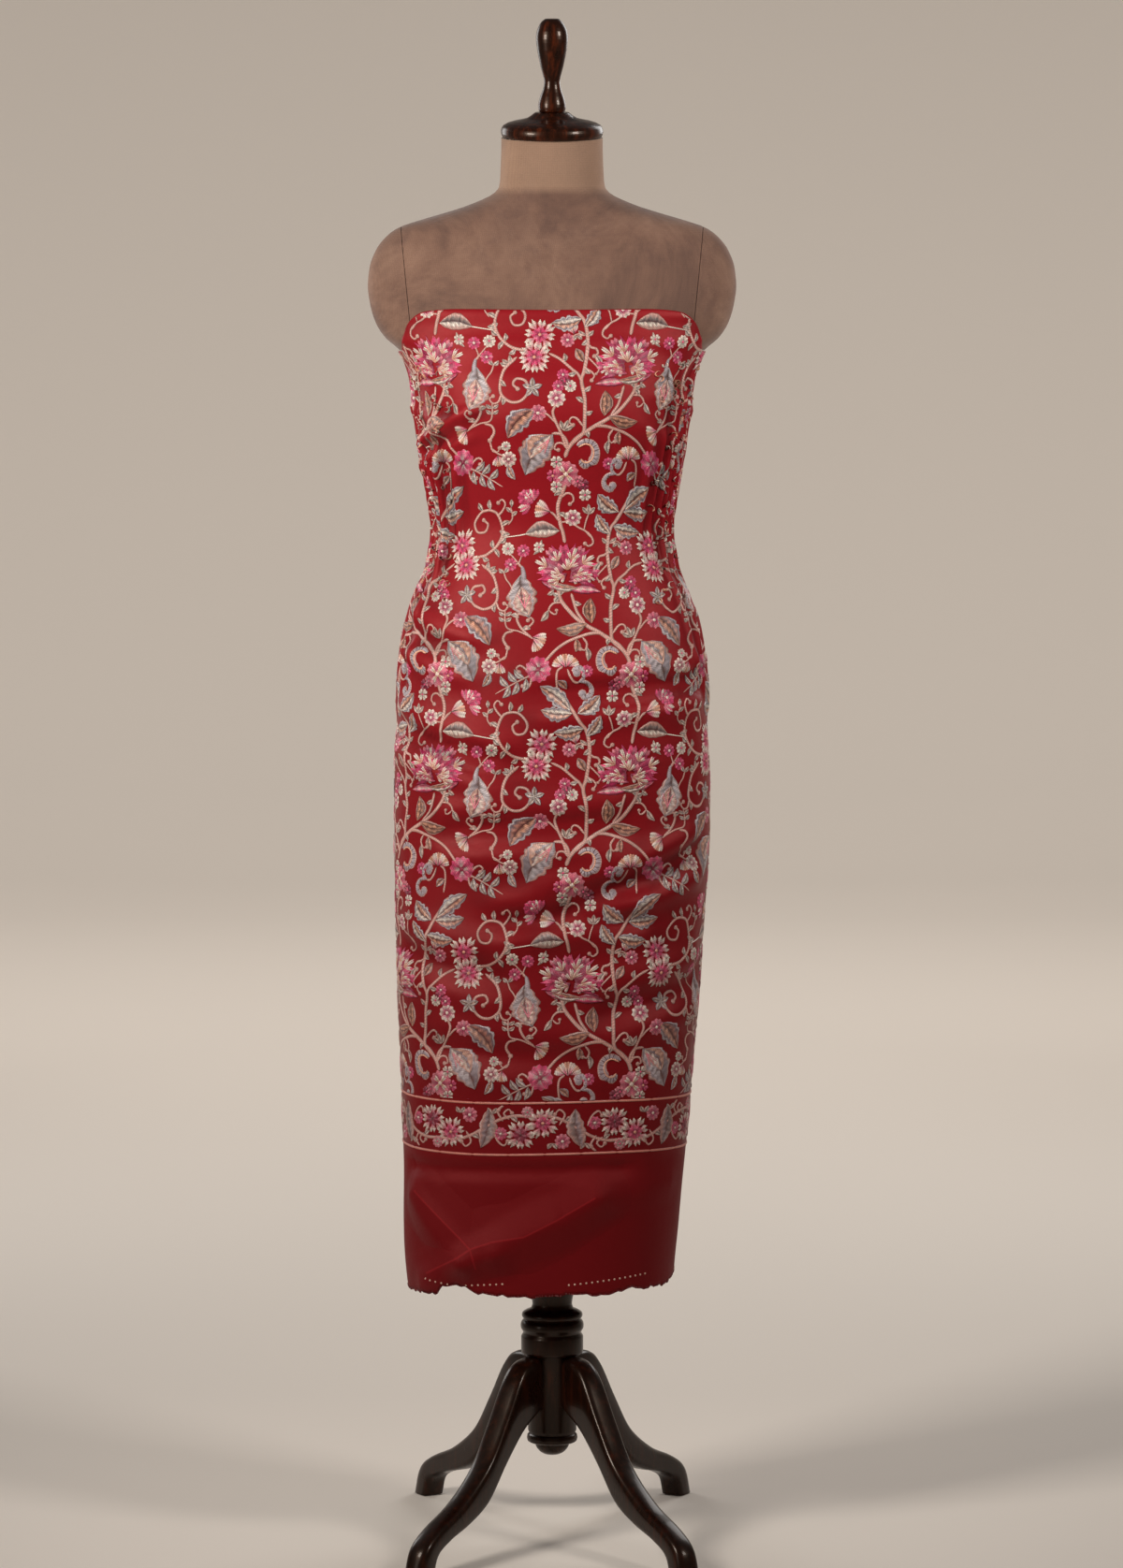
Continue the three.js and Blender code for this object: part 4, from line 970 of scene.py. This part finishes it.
# the big flower: jagged magenta petals of uneven length, tufts of cream among pink ones over them, striped sepals
# below and one pink tongue
outer_petals = [
    # direction, reach and width
    (203, 28, 11), (188, 33, 13), (172, 30, 11), (157, 35, 13), (140, 29, 12), (126, 34, 13), (110, 27, 11),
    (96, 31, 12), (80, 27, 12), (66, 33, 13), (52, 28, 11), (38, 36, 13), (24, 31, 12), (9, 37, 13), (-5, 32, 12),
    (-20, 35, 12),
]
for k, (turn, far, wide) in enumerate(outer_petals):
    petal((0, -5), turn, 5, far, wide * 1.15, magenta, pink if k % 3 == 1 else mauve, 0.42, (112, 12, 50),
          0.7 + 0.2 * (k % 2), 7)
inner_petals = [
    # foot, direction, size and thread
    (2, -2, 90, 12, pink), (-3, -3, 150, 11, rose), (6, -3, 30, 11, mauve), (0, -6, 215, 10, pink),
    (4, -6, -40, 10, rose), (-3, 14, 95, 11, pink), (-17, -5, 185, 11, pink), (6, -4, -70, 10, magenta),
    (25, -5, -8, 11, pink), (13, 14, 60, 10, rose), (-14, 12, 130, 11, rose), (1, 3, 30, 10, pink),
]
for x, y, turn, size, tone in inner_petals:
    petal((x, y), turn, 0.5, size, size * 0.95, magenta, tone, 0.24, (120, 14, 54), 1.05)
tufts = [
    # foot, direction and size
    (-21, 1, 158, 13), (-9, 7, 118, 12), (5, 8, 72, 13), (17, 4, 38, 14), (-7, -7, 170, 11), (11, -7, 8, 13),
    (22, -9, -25, 9), (1, -3, 96, 13), (-2, -9, 205, 10), (7, -9, -30, 10), (3, 0, 62, 12), (-8, -13, 190, 12),
]
for x, y, turn, size in tufts:
    for spread, share in ((-40, 0.94), (38, 0.78), (-4, 1.12)):
        petal((x, y), turn + spread, 0.5, size * share, size * 0.36, peach, cream, 0.1, (128, 52, 62), 1.3)
leaf((2, -15), (28, -13), 8, rose, magenta, 0.08, 0.1, 9, 1.15, magenta, "flowers", pink)
leaf((-20, -17), (12, -22), 8.5, cream, stone, -0.08, 0.07, 10, 1.1, shadow, "flowers", peach, taupe)
leaf((-4, -22), (-27, -15), 7, pink, magenta, 0.06, 0.1, 8, 0.9, magenta, "flowers", rose)
leaf((4, -24), (37, -26), 9.5, pink, magenta, 0.04, 0.1, 10, 0.9, cream, "flowers", rose)

# the stem up from the flower to its rosette, and what grows from it
vine([(-1, 95), (-3, 86), (-9.5, 67), (-7, 48), (-4, 38), (-2, 27)], 4, 3.4)
curl([(-6, 76), (0, 81), (6, 79), (7.5, 73), (3.5, 69)])
rosette((-1, 102), 11.5, pink, cream, 6, 60, rose)
for k in range(4):
    petal((-1, 102), 40 + 90 * k, 1, 11, 6.5, peach, cream, 0.2, shadow, 1.2)
for x, y, tone in ((-11, 115, cream), (-15, 100, pink), (-11, 88, cream), (12, 94, rose), (20, 79, cream),
                   (18, 90, magenta)):
    rosette((x, y), 5.6, tone, peach if tone is pink else pink, 4, 45)
rosette((6.7, 54), 7.5, pink, cream, 5, 90, cream)
vine([(-8, 49), (0, 50), (6, 50)], 2, 1.4)
vine([(6, 50), (12, 44), (20, 40), (26, 33)], 2.2, 2)
curl([(20, 40), (27, 34), (29, 27), (24, 23), (20, 26)])
for way in (40, 90, 140):
    leaflet((24, 58), reached((24, 60), way, 9), 4.6)
vine([(24, 58), (21, 50), (19, 41)], 1.8, 1.6)
leaf((-8, 40), (-45, 36), 17, (142, 128, 124), taupe, -0.1, 0.04, 16, far=cream)
vine([(-8, 40), (-26, 39.5), (-45, 36), (-70, 32)], 1.8, 1.2, cream)
pair((-66, 33), 180, 10, 5.5)
vine([(-8, 50), (-13, 57), (-18, 61)], 2.8, 2.2)
tulip((-18, 61), 165, 17)
for turn, tone in ((110, cream), (140, pink), (200, cream), (215, pink), (80, pink)):
    petal((-36, 69), turn, 4, 17, 9, rose, tone, 0.18, magenta)
rosette((-44, 76), 7.5, pink, cream, 5)

# the compound sprig at the upper right and the long stem below it
vine([(77, 86), (69, 72), (62, 61), (55, 50), (48, 40), (45, 18), (48.6, -10), (52, -22), (48.6, -41), (48.6, -66),
      (50.5, -79), (62, -90), (68, -98)], 3.6, 3.8)
for base, tip, wide, bend in (
    ((66, 63), (99, 90), 17, 0.06), ((64, 60), (98, 64), 15, -0.08), ((52, 44), (84, 40), 15, -0.1),
    ((58, 60), (34, 80), 17, 0.12), ((48, 36), (33, 58), 13, 0.1),
):
    leaf(base, tip, wide * 1.1, peach, (120, 114, 128), bend, 0.17, 14, 0.85, far=cream, rim=silver)
    vine([base, np.array(base) * 0.45 + np.array(tip) * 0.55], 1.6, 0.9, cream, 0.95, stone, "leaves")
pair((47, 26), 90, 10, 4.6, 55)
curl([(47, 18), (41, 13), (36, 12), (34, 7), (38, 4)], 2.6, 2.4, 2.6)
leaf((50, -2), (58, 12), 9, peach, grey, 0, 0, 7, rim=taupe)
curl([(48, -10), (42, -12), (38, -17), (41, -22)], 2.4, 1.8)
for base, tip in (((50, -34), (42, -28)), ((50, -46), (58, -40)), ((49, -58), (40, -55))):
    leaflet(base, tip, 4.8, 0.1)
curl([(50, -72), (57, -63), (63, -62), (65, -67), (61, -70)])
for x, y, tone in ((72, -16, pink), (64, -28, cream), (77, -28, pink), (70, -23, magenta)):
    rosette((x, y), 5.4, tone, cream if tone is pink else pink, 5)
vine([(52, -22), (56, -15), (62, -10), (75, 1), (87, 7)], 3, 2.6)
daisy((97, 27), 15.5, 8, 10)
daisy((103, 3), 15.5, 9, 28)

sprouts([(-1, 95), (-3, 86), (-9.5, 67), (-7, 48)], 23)
sprouts([(48, 40), (45, 18), (48.6, -10), (52, -22)], 30, -1)
sprouts([(48.6, -66), (50.5, -79), (62, -90)], 16)
sprouts([(52, -22), (56, -15), (62, -10), (75, 1), (87, 7)], 17)

# the spiral with a star leaf, and the tendrils under it
vine([(-94, 3), (-81, -9), (-76, -24), (-77, -37), (-87, -45), (-98, -44), (-106, -35), (-104, -23), (-94, -20),
      (-90, -26), (-95, -31)], 3.2, 2.6)
dot((-95, -31), 2.8, taupe, 0.8, stone)
for k in range(5):
    leaf((-111, -30), reached((-111, -30), 90 + 72 * k, 11), 5.5, cream, grey, 0, 0, 5, 0.8, stone)
pair((-86, -4), 60, 9, 4.6, 30)
curl([(-77, -37), (-74, -45), (-68, -47), (-64, -42), (-68, -39)])
for x, y in ((-67, -52), (-67, -58)):
    pair((x, y), 90, 8, 4, 60)
vine([(-67, -46), (-67, -58), (-64, -66), (-52, -69), (-39, -75)], 1.9, 1.8)
curl([(-58, -69), (-66, -71), (-69, -78), (-64, -87)], 2.4, 3.2, 3)
curl([(-64, -87), (-67, -98), (-73, -99), (-75, -95)], 2.2, 1.6)

sprouts([(-94, 3), (-81, -9), (-76, -24), (-77, -37), (-87, -45)], 19, -1)

# the scroll
vine([(-102, 10), (-87, 14), (-75, 25), (-70, 40), (-75, 56), (-83, 61), (-94, 60), (-103, 49), (-100, 39),
      (-91, 38), (-87, 46), (-92, 51)], 3.2, 2.4)
dot((-92, 51), 2.6, taupe, 0.8, stone)
curl([(-76, 55), (-70, 62), (-67, 69), (-71, 74), (-75, 70)])
for base, tip in (((-84, 62), (-85, 73)), ((-93, 61), (-98, 70)), ((-72, 45), (-62, 50)), ((-71, 34), (-62, 36)),
                  ((-80, 20), (-74, 11))):
    leaflet(base, tip, 5, 0.08)
vine([(-64, 46), (-59, 54), (-61, 66)], 1.8, 1.4)
for y, way in ((56, 40), (60, 140), (66, 90)):
    leaflet((-60, y), reached((-60, y), way, 8), 4.2)

sprouts([(-102, 10), (-87, 14), (-75, 25)], 15)

# the bud with a drop-shaped leaf
for x, y, tone in ((-64, 20, cream), (-47, 18, pink), (-61, 3, pink)):
    rosette((x, y), 5.8, tone, pink if tone is cream else cream, 5)
    vine([(x * 0.85 - 8.3, y * 0.8), (-52, 4), (-49, 0)], 1.5, 1.8)
vine([(-49, 2), (-47, -6), (-47, -14)], 3, 6.5, grey, 0.7)
leaf((-50, -8), (-41, -54), 33, silver, silver, -0.08, 0.13, 16, 0.7, stone, far=grey, rim=taupe)
leaf((-49, -21), (-41, -52), 25, cream, (214, 150, 140), -0.1, 0.1, 12, 1.05, (128, 40, 50), far=(250, 206, 186),
     rim=silver)
for way in (70, 95, 120):
    vine([(-45, -44), reached((-45, -44), way, 17)], 2, 1.2, rose, 1.25, magenta, "leaves")
vine([(-43, -52), (-52, -50), (-54, -56), (-49, -66), (-37, -77)], 3, 2.6)
tulip((-37, -75), -20, 15)
tulip((-36, -79), -60, 12)
curl([(-46, -66), (-40, -63), (-36, -58), (-39, -54), (-42, -57)])
vine([(-69, -5), (-66, -13), (-62, -18), (-58, -26)], 1.9, 1.6)
pair((-68, -6), 100, 8, 4.4)

# stems from the flower down to the next row
vine([(-9, -22), (-8, -30), (-5, -37), (3, -47), (12, -56), (24, -64), (37, -71), (48, -78), (58, -85), (66, -95),
      (70, -105)], 3.8, 4.2)
vine([(5, -28), (8, -38), (12, -49), (20, -60)], 3, 2.8)
leaf((27, -60), (26, -33), 14, peach, stone, 0.08, 0.04, 10, rim=taupe)
leaf((22, -61), (-11, -66), 13, peach, stone, 0.12, 0.05, 11, rim=taupe)
pair((-7, -30), 120, 9, 4.6)
pair((-14, -25), 170, 8, 4.4)
vine([(-6, -38), (-13, -38), (-18, -42), (-20, -48)], 2.4, 2)
leaflet((-20, -46), (-28, -58), 6, 0.1)
curl([(-19, -46), (-15, -50), (-11, -50), (-11, -46)], 2.2, 1.6, 2)

sprouts([(5, -28), (8, -38), (12, -49)], 14, -1)
sprouts([(-9, -22), (-8, -30), (-5, -37), (3, -47)], 15)
sprouts([(-43, -52), (-54, -56), (-49, -66), (-37, -77)], 15)

# the arch, its rosette and its fern
vine([(40, -71), (28, -71), (16, -74), (1, -80), (-12, -89), (-24, -102)], 3.4, 2.8)
rosette((-31, -110), 11.5, cream, magenta, 6, 20, pink)
for k in range(4):
    petal((-31, -110), 40 + 90 * k, 1, 11, 6.5, magenta, pink, 0.2, shadow, 1.2)
vine([(-36, -115), (-49, -121), (-62, -128), (-78, -137)], 2.4, 1.2)
for x, y, way in ((-46, -120, 140), (-54, -124, 130), (-63, -129, 130), (-44, -120, 255), (-53, -124, 245),
                  (-62, -128, 240)):
    leaf((x, y), reached((x, y), way, 15), 6.2, cream, grey, 0.14, 0, 7, 0.75, stone)
leaf((11, -77), (10, -91), 7, peach, taupe, 0.1, 0, 7)
curl([(17, -75), (22, -82), (20, -89), (15, -88)])
leaf((22, -86), (23, -101), 6, cream, taupe, 0.1, 0, 5)
curl([(-42, -112), (-50, -106), (-55, -109), (-52, -113)])
curl([(-38, -118), (-40, -127), (-45, -132), (-48, -128)])
tulip((-1, -108), 95, 15)
tulip((-4, -107), 140, 12)
tulip((2, -107), 45, 12)
vine([(-4, -107), (-10, -112), (-11, -123), (-9, -137)], 2.4, 2.2)
vine([(1, -110), (4, -118), (9, -124), (14, -124)], 2.4, 2.4)
for line, middle in (
    ([(13, -124), (18, -120), (18.5, -112), (13, -108), (9, -111), (11, -114)], (15, -114)),
    ([(13, -123), (22, -124), (27, -130), (26, -137), (20, -140), (17, -136)], (21, -132)),
):
    vine(line, 2.6, 7.5, grey, 0.8, taupe)
    dot(line[-1], 4.6, grey, 0.95, taupe)
    for point in line[1:5]:
        vine([point, np.array(point) * 0.55 + np.array(middle) * 0.45], 1.3, 0.9, stone, 1.0)
leaf((-10, -122), (0, -131), 7.5, peach, grey, 0.1, 0, 7)

# the small flower, buds and leaflets that fill the ground beside the fern, and those beside the long stem
vine([(-67, -96), (-73, -101), (-80, -104)], 2.2, 1.8)
rosette((-85, -107), 7, rose, cream, 5, 20, cream)
rosette((-82, -93), 4.4, cream, pink, 5, 50)
tulip((-73, -103), 265, 12)
leaf((-84, -113), (-92, -129), 8, peach, (120, 114, 128), 0.1, 0.1, 9, far=cream, rim=silver)
vine([(48, 26), (56, 28), (63, 24)], 1.8, 1.4)
rosette((67, 21), 6.5, pink, cream, 5, 10, rose)
tulip((60, 28), 80, 10)
pair((57, 26), 260, 7, 4)
leaflet((30, -8), (38, 6), 6, 0.1, 7)
curl([(46, 4), (38, -4), (33, -10), (36, -15)], 1.9, 1.5, 1.8)
rosette((22, -112), 5.5, pink, cream, 5, 30)
rosette((-30, 22), 5, cream, pink, 4, 45)
leaflet((-27, 30), (-36, 14), 5, 0.12)

# the scalloped crescent, the rosettes and the broad leaves at the lower right
hook = through([(57, -92), (47, -87.5), (38.5, -92), (36.5, -102), (41, -111), (49, -113), (54, -108)], 14)
vine(hook[:11:2], 4, 11, grey, 0.8, taupe, "leaves")
vine(hook[10:], 11, 4, grey, 0.8, taupe, "leaves")
vine(hook[::2] * 0.8 + np.array([9.4, -20.2]), 2.2, 2.2, peach, 1.05, stone, "leaves")
for k in range(2, 14):
    ahead = hook[k] - hook[k - 1]
    inward = np.array([-ahead[1], ahead[0]]) / np.hypot(*ahead)
    thread = stone if k % 2 else shadow
    vine([hook[k] - inward * 3.4, hook[k] + inward * 3], 1.5, 1.0, thread, 1.0, grey, "leaves")
rosette((79, -41), 8, pink, cream, 5, 30, cream)
rosette((99, -57), 7.5, pink, cream, 5, 80, rose)
vine([(80, -48), (83, -56), (80, -66), (74, -79), (68, -96)], 2.6, 3)
vine([(99, -58), (92, -57), (86, -61), (81, -67)], 2.4, 2)
leaf((103, -53), (132, -84), 24, peach, (124, 116, 128), 0.12, 0.14, 14, far=(200, 136, 118), rim=silver)
leaf((83, -80), (113, -124), 34, silver, grey, 0.1, 0.13, 16, 0.7, stone, far=grey, rim=taupe)
leaf((85, -81), (108, -106), 24, cream, (222, 160, 140), 0.16, 0.1, 12, 1.05, (128, 40, 50), far=(250, 200, 176),
     rim=silver)
for way in (-38, -55, -72):
    vine([(87, -85), reached((87, -85), way, 17)], 2, 1.1, rose, 1.25, magenta, "leaves")
vine([(67, -98), (68, -88), (74, -80), (84, -79)], 3, 3)
curl([(68, -96), (72, -90), (79, -90), (81, -96), (77, -97)])
for way in (60, 110, 160):
    leaflet((71, -76), reached((70, -74), way, 10), 5)

# the border: a waving stem between two cords, with a pair of daisies in each wave and a feather leaf between
half_wave = 103.0
low_cord, high_cord = 445.0, 502.0
mid = 473.5
for k in range(11):
    x = (k - 5) * half_wave - 16
    flip = 1 if k % 2 else -1
    wave = [(x + s * half_wave, mid + flip * (13 - 26 * s) + flip * 6 * math.sin(2 * math.pi * s))
            for s in np.linspace(0, 1, 7)]
    vine(wave, 3.2, 3.2, group="border")
    daisy((x + 13, mid + 6 * flip), 15, 8, 15, pink, "border")
    daisy((x - 11, mid - 7 * flip), 14.5, 8, 0, magenta, "border")
    leaf((x + 0.55 * half_wave, mid - 21 * flip), (x + 0.47 * half_wave, mid + 22 * flip), 20, grey, taupe, 0.08,
         0.12, 16, 0.9, stone, "border", (150, 134, 128))
    for a, b, c, d in ((31, 4, 37, 1), (72, -8, 66, -1)):
        curl([(x + a, mid + b * flip), (x + c, mid + (b + 11 * d) * flip), (x + a, mid + (b + 17 * d) * flip),
              (x + a - 5, mid + (b + 12 * d) * flip)], group="border")
    for points in (((62, 3), (67, 14), (74, 19), (78, 14)), ((-24, 10), (-30, 16), (-25, 21), (-21, 17))):
        curl([(x + a, mid + b * flip) for a, b in points], group="border")
    rosette((x + 35, mid - 14 * flip), 7, pink, cream, 5, 10, rose, "border")
    rosette((x + 70, mid + 6 * flip), 6, rose, cream, 5, 50, pink, "border")
    rosette((x - 4, mid + 18 * flip), 5.5, cream, pink, 5, 50, rose, "border")
    for a, b in ((84, 12), (24, -16), (60, -16)):
        pair((x + a, mid + b * flip), (90 if b > 0 else -90) * flip, 8, 4.8, 38, "border")
    sprouts(wave, 24, flip, group="border")
for level in (low_cord, high_cord):
    for x in np.arange(-560, 560, 40.0):
        stretch = [(x + s, level + 1.1 * math.sin((x + s) / 47)) for s in np.linspace(-0.6, 40.6, 9)]
        vine(stretch, 2.5, 2.5, (226, 142, 122), 0.9, (168, 74, 66), "border")


def thread_piece(name, groups, cells):
    """One mesh of all that these groups chart, laid on the cloth at each cell (across, height, mirrored)."""
    flat, lifts, tones, runs, faces = [], [], [], [], []
    count, far_side = 0, 600
    for across, up, mirrored, low_limit in cells:
        for points, lift, tone, run, quads in groups:
            placed = points * (-1 if mirrored else 1, 1) + (across, up)
            if placed[:, 0].max() < -far_side or placed[:, 0].min() > far_side or placed[:, 1].max() < low_limit:
                continue
            ceiling = np.interp(placed[:, 0], chart_u, chart_top) - 1.2
            if (placed[:, 1] > ceiling).all():
                continue
            level = np.clip((placed[:, 1] - chart_z[0]) / chart_step, 0, len(chart_z) - 1)
            left = np.interp(level, np.arange(len(chart_z)), ends[:, 0]) + 2
            right = np.interp(level, np.arange(len(chart_z)), ends[:, 1]) - 2
            kept = np.stack([np.clip(placed[:, 0], left, right), np.clip(placed[:, 1], low_limit, ceiling)], -1)
            inside = (np.abs(kept - placed) < 1e-6).all(1)
            used = quads[inside[quads].any(1)]
            if not len(used):
                continue
            flat.append(kept)
            lifts.append(lift)
            tones.append(tone)
            runs.append(run)
            faces.append((used[:, ::-1] if mirrored else used) + count)
            count += len(points)
    flat, lifts, faces = np.vstack(flat), np.concatenate(lifts), np.vstack(faces)
    points = on_cloth(flat, lifts + 0.12) / 1000
    mesh = bpy.data.meshes.new(name)
    mesh.from_pydata(points.tolist(), [], faces.tolist())
    mesh.polygons.foreach_set("use_smooth", [True] * len(mesh.polygons))
    body = bpy.data.objects.new(name, mesh)
    bpy.context.collection.objects.link(body)
    corners = np.zeros(len(mesh.loops), int)
    mesh.loops.foreach_get("vertex_index", corners)
    i = np.clip((flat[:, 0] - chart_u[0]) / chart_step, 0, len(chart_u) - 1).astype(int)
    j = np.clip((flat[:, 1] - chart_z[0]) / chart_step, 0, len(chart_z) - 1).astype(int)
    # the threads get the same painted shade in the fold hollows
    shades = np.clip(np.vstack(tones) / 255, 0, 1) * (1 - 0.36 * laid_fold_shade[j, i])[:, None]
    shades = np.where(shades < 0.04045, shades / 12.92, ((shades + 0.055) / 1.055) ** 2.4)
    layer = mesh.color_attributes.new("thread", "FLOAT_COLOR", "POINT")
    layer.data.foreach_set("color", np.column_stack([shades, np.ones(len(shades))]).ravel())
    places = mesh.uv_layers.new(name="stitches")
    places.data.foreach_set("uv", (np.vstack(runs)[corners] / 10).ravel())
    mesh.validate()
    body.data.materials.append(rayon)
    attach(body, "form")
    return body


rayon, shade, join = finish_named("embroidery_thread", 0.32, Specular_IOR_Level=0.62, Anisotropic=0.3)
thread = shade.node("ShaderNodeAttribute", {"attribute_name": "thread"}, {}, 0)
stitches = shade.node("ShaderNodeUVMap", {"uv_map": "stitches"})
run, across = (shade.node("ShaderNodeSeparateXYZ", {}, {"Vector": stitches}, k) for k in range(2))
uneven = shade.node("ShaderNodeTexNoise", {}, {"Vector": stitches, "Scale": 22.0, "Detail": 2.0})
rows = shade.math("SINE", run * 74.0 + across * 16.0 + uneven * 2.6)
strands = shade.math("SINE", run * 31.0 + across * 12.0 + uneven * 5.0)
depth = rows * 0.5 + 0.5
# the thread is darker where the stitch rows and strands sink: painted shade in the grooves between them
dark = shade.node("ShaderNodeMix", {"data_type": "RGBA", "blend_type": "MULTIPLY"},
                  {0: 1.0, 6: thread, 7: colour(150, 132, 126)}, 2)
stitch_tone_and_shade = shade.mix(0.28 - strands * 0.3 - rows * 0.18, thread, dark)
# the thread is painted darker towards the hem, as the silk is: painted shade of the light falling off downwards
hemward = shade.node("ShaderNodeSeparateXYZ", {}, {"Vector": shade.node("ShaderNodeTexCoord", {}, {}, 3)}, 2)
hemward_painted_shade = shade.node("ShaderNodeMapRange", {},
                  {"Value": hemward, "From Min": 0.45, "From Max": 1.0, "To Min": 0.34, "To Max": 0.0})
stitch_tone_and_shade = shade.mix(hemward_painted_shade, stitch_tone_and_shade, colour(92, 22, 26))
relief = shade.node("ShaderNodeBump", {}, {"Strength": 0.55, "Distance": 0.0003, "Height": depth + strands * 0.4})
join(Base_Color=stitch_tone_and_shade, Roughness=0.24 + uneven * 0.2, Normal=relief)

repeat = 216.0
# place of the big flower across and up, and mirrored or not
rows_of_cells = [(-132, 1311, True), (16, 1086, False), (-130, 868, True), (24, 640, False), (-122, 419, True)]
field_foot, border_foot, edge_foot = 505.0, 430.0, 270.0  # how low each kind of embroidery or thread may reach
cells = [(start + repeat * k, up, turned_over, field_foot) for start, up, turned_over in rows_of_cells
         for k in range(-3, 4)]
for group in ("stems", "leaves", "flowers"):
    thread_piece("embroidery_" + group, chart[group], cells)
thread_piece("embroidery_border", chart["border"], [(0.0, 0.0, False, border_foot)])

# Below the plain end the weave frays: loose threads hang from the raw edge, and a row of pale pin holes above it
# shows where the cloth was held on its stretcher.
chart["fray"], chart["pins"] = [], []
for k in range(760):
    x = chance.uniform(-520, 520)
    edge = np.interp(x, chart_u, chart_low)
    long = chance.choice([1.8, 3.0, 6.0], p=[0.62, 0.33, 0.05]) * chance.uniform(0.7, 1.3)
    bend = chance.uniform(-0.6, 0.6) * long
    tone = np.array((150, 14, 26)) * chance.uniform(0.6, 1.15)
    loose = [(0, 2.0), (bend * 0.15, 0.4), (bend * 0.5, -long * 0.55), (bend, -long)]
    vine([(x + a, edge + b) for a, b in loose], 0.95, 0.5, tone, 0.45, tone * 0.7, "fray")
for k in range(150):
    x = chance.choice([-1, 1]) * chance.uniform(118, 196)
    z = chance.uniform(1050, 1306)
    size = chance.uniform(2, 5)
    way = chance.uniform(0, 2 * math.pi)
    turnings = [(x + size * math.cos(way + t), z + size * 0.7 * math.sin(way + t)) for t in np.linspace(0, 4.2, 6)]
    tone = np.array((taupe, cream, peach)[k % 3], float)
    vine(turnings, 0.7, 0.5, tone, chance.uniform(1.5, 4), tone * 0.8, "fray")
for start, end in (((-134, 302), (-104, 298)), ((-82, 298), (-41, 301)), ((32, 300), (122, 308)),
                   ((190, 303), (330, 301)), ((-420, 301), (-250, 303))):
    start, end = np.array(start, float), np.array(end, float)
    for t in np.linspace(0, 1, int((end - start)[0] / 6.2) + 1):
        dot(start + (end - start) * t, 1.25, (255, 214, 190), 0.35, (216, 130, 116), "pins")
thread_piece("frayed_edge", chart["fray"], [(0.0, 0.0, False, edge_foot)])
thread_piece("pin_holes", chart["pins"], [(0.0, 0.0, False, edge_foot)])
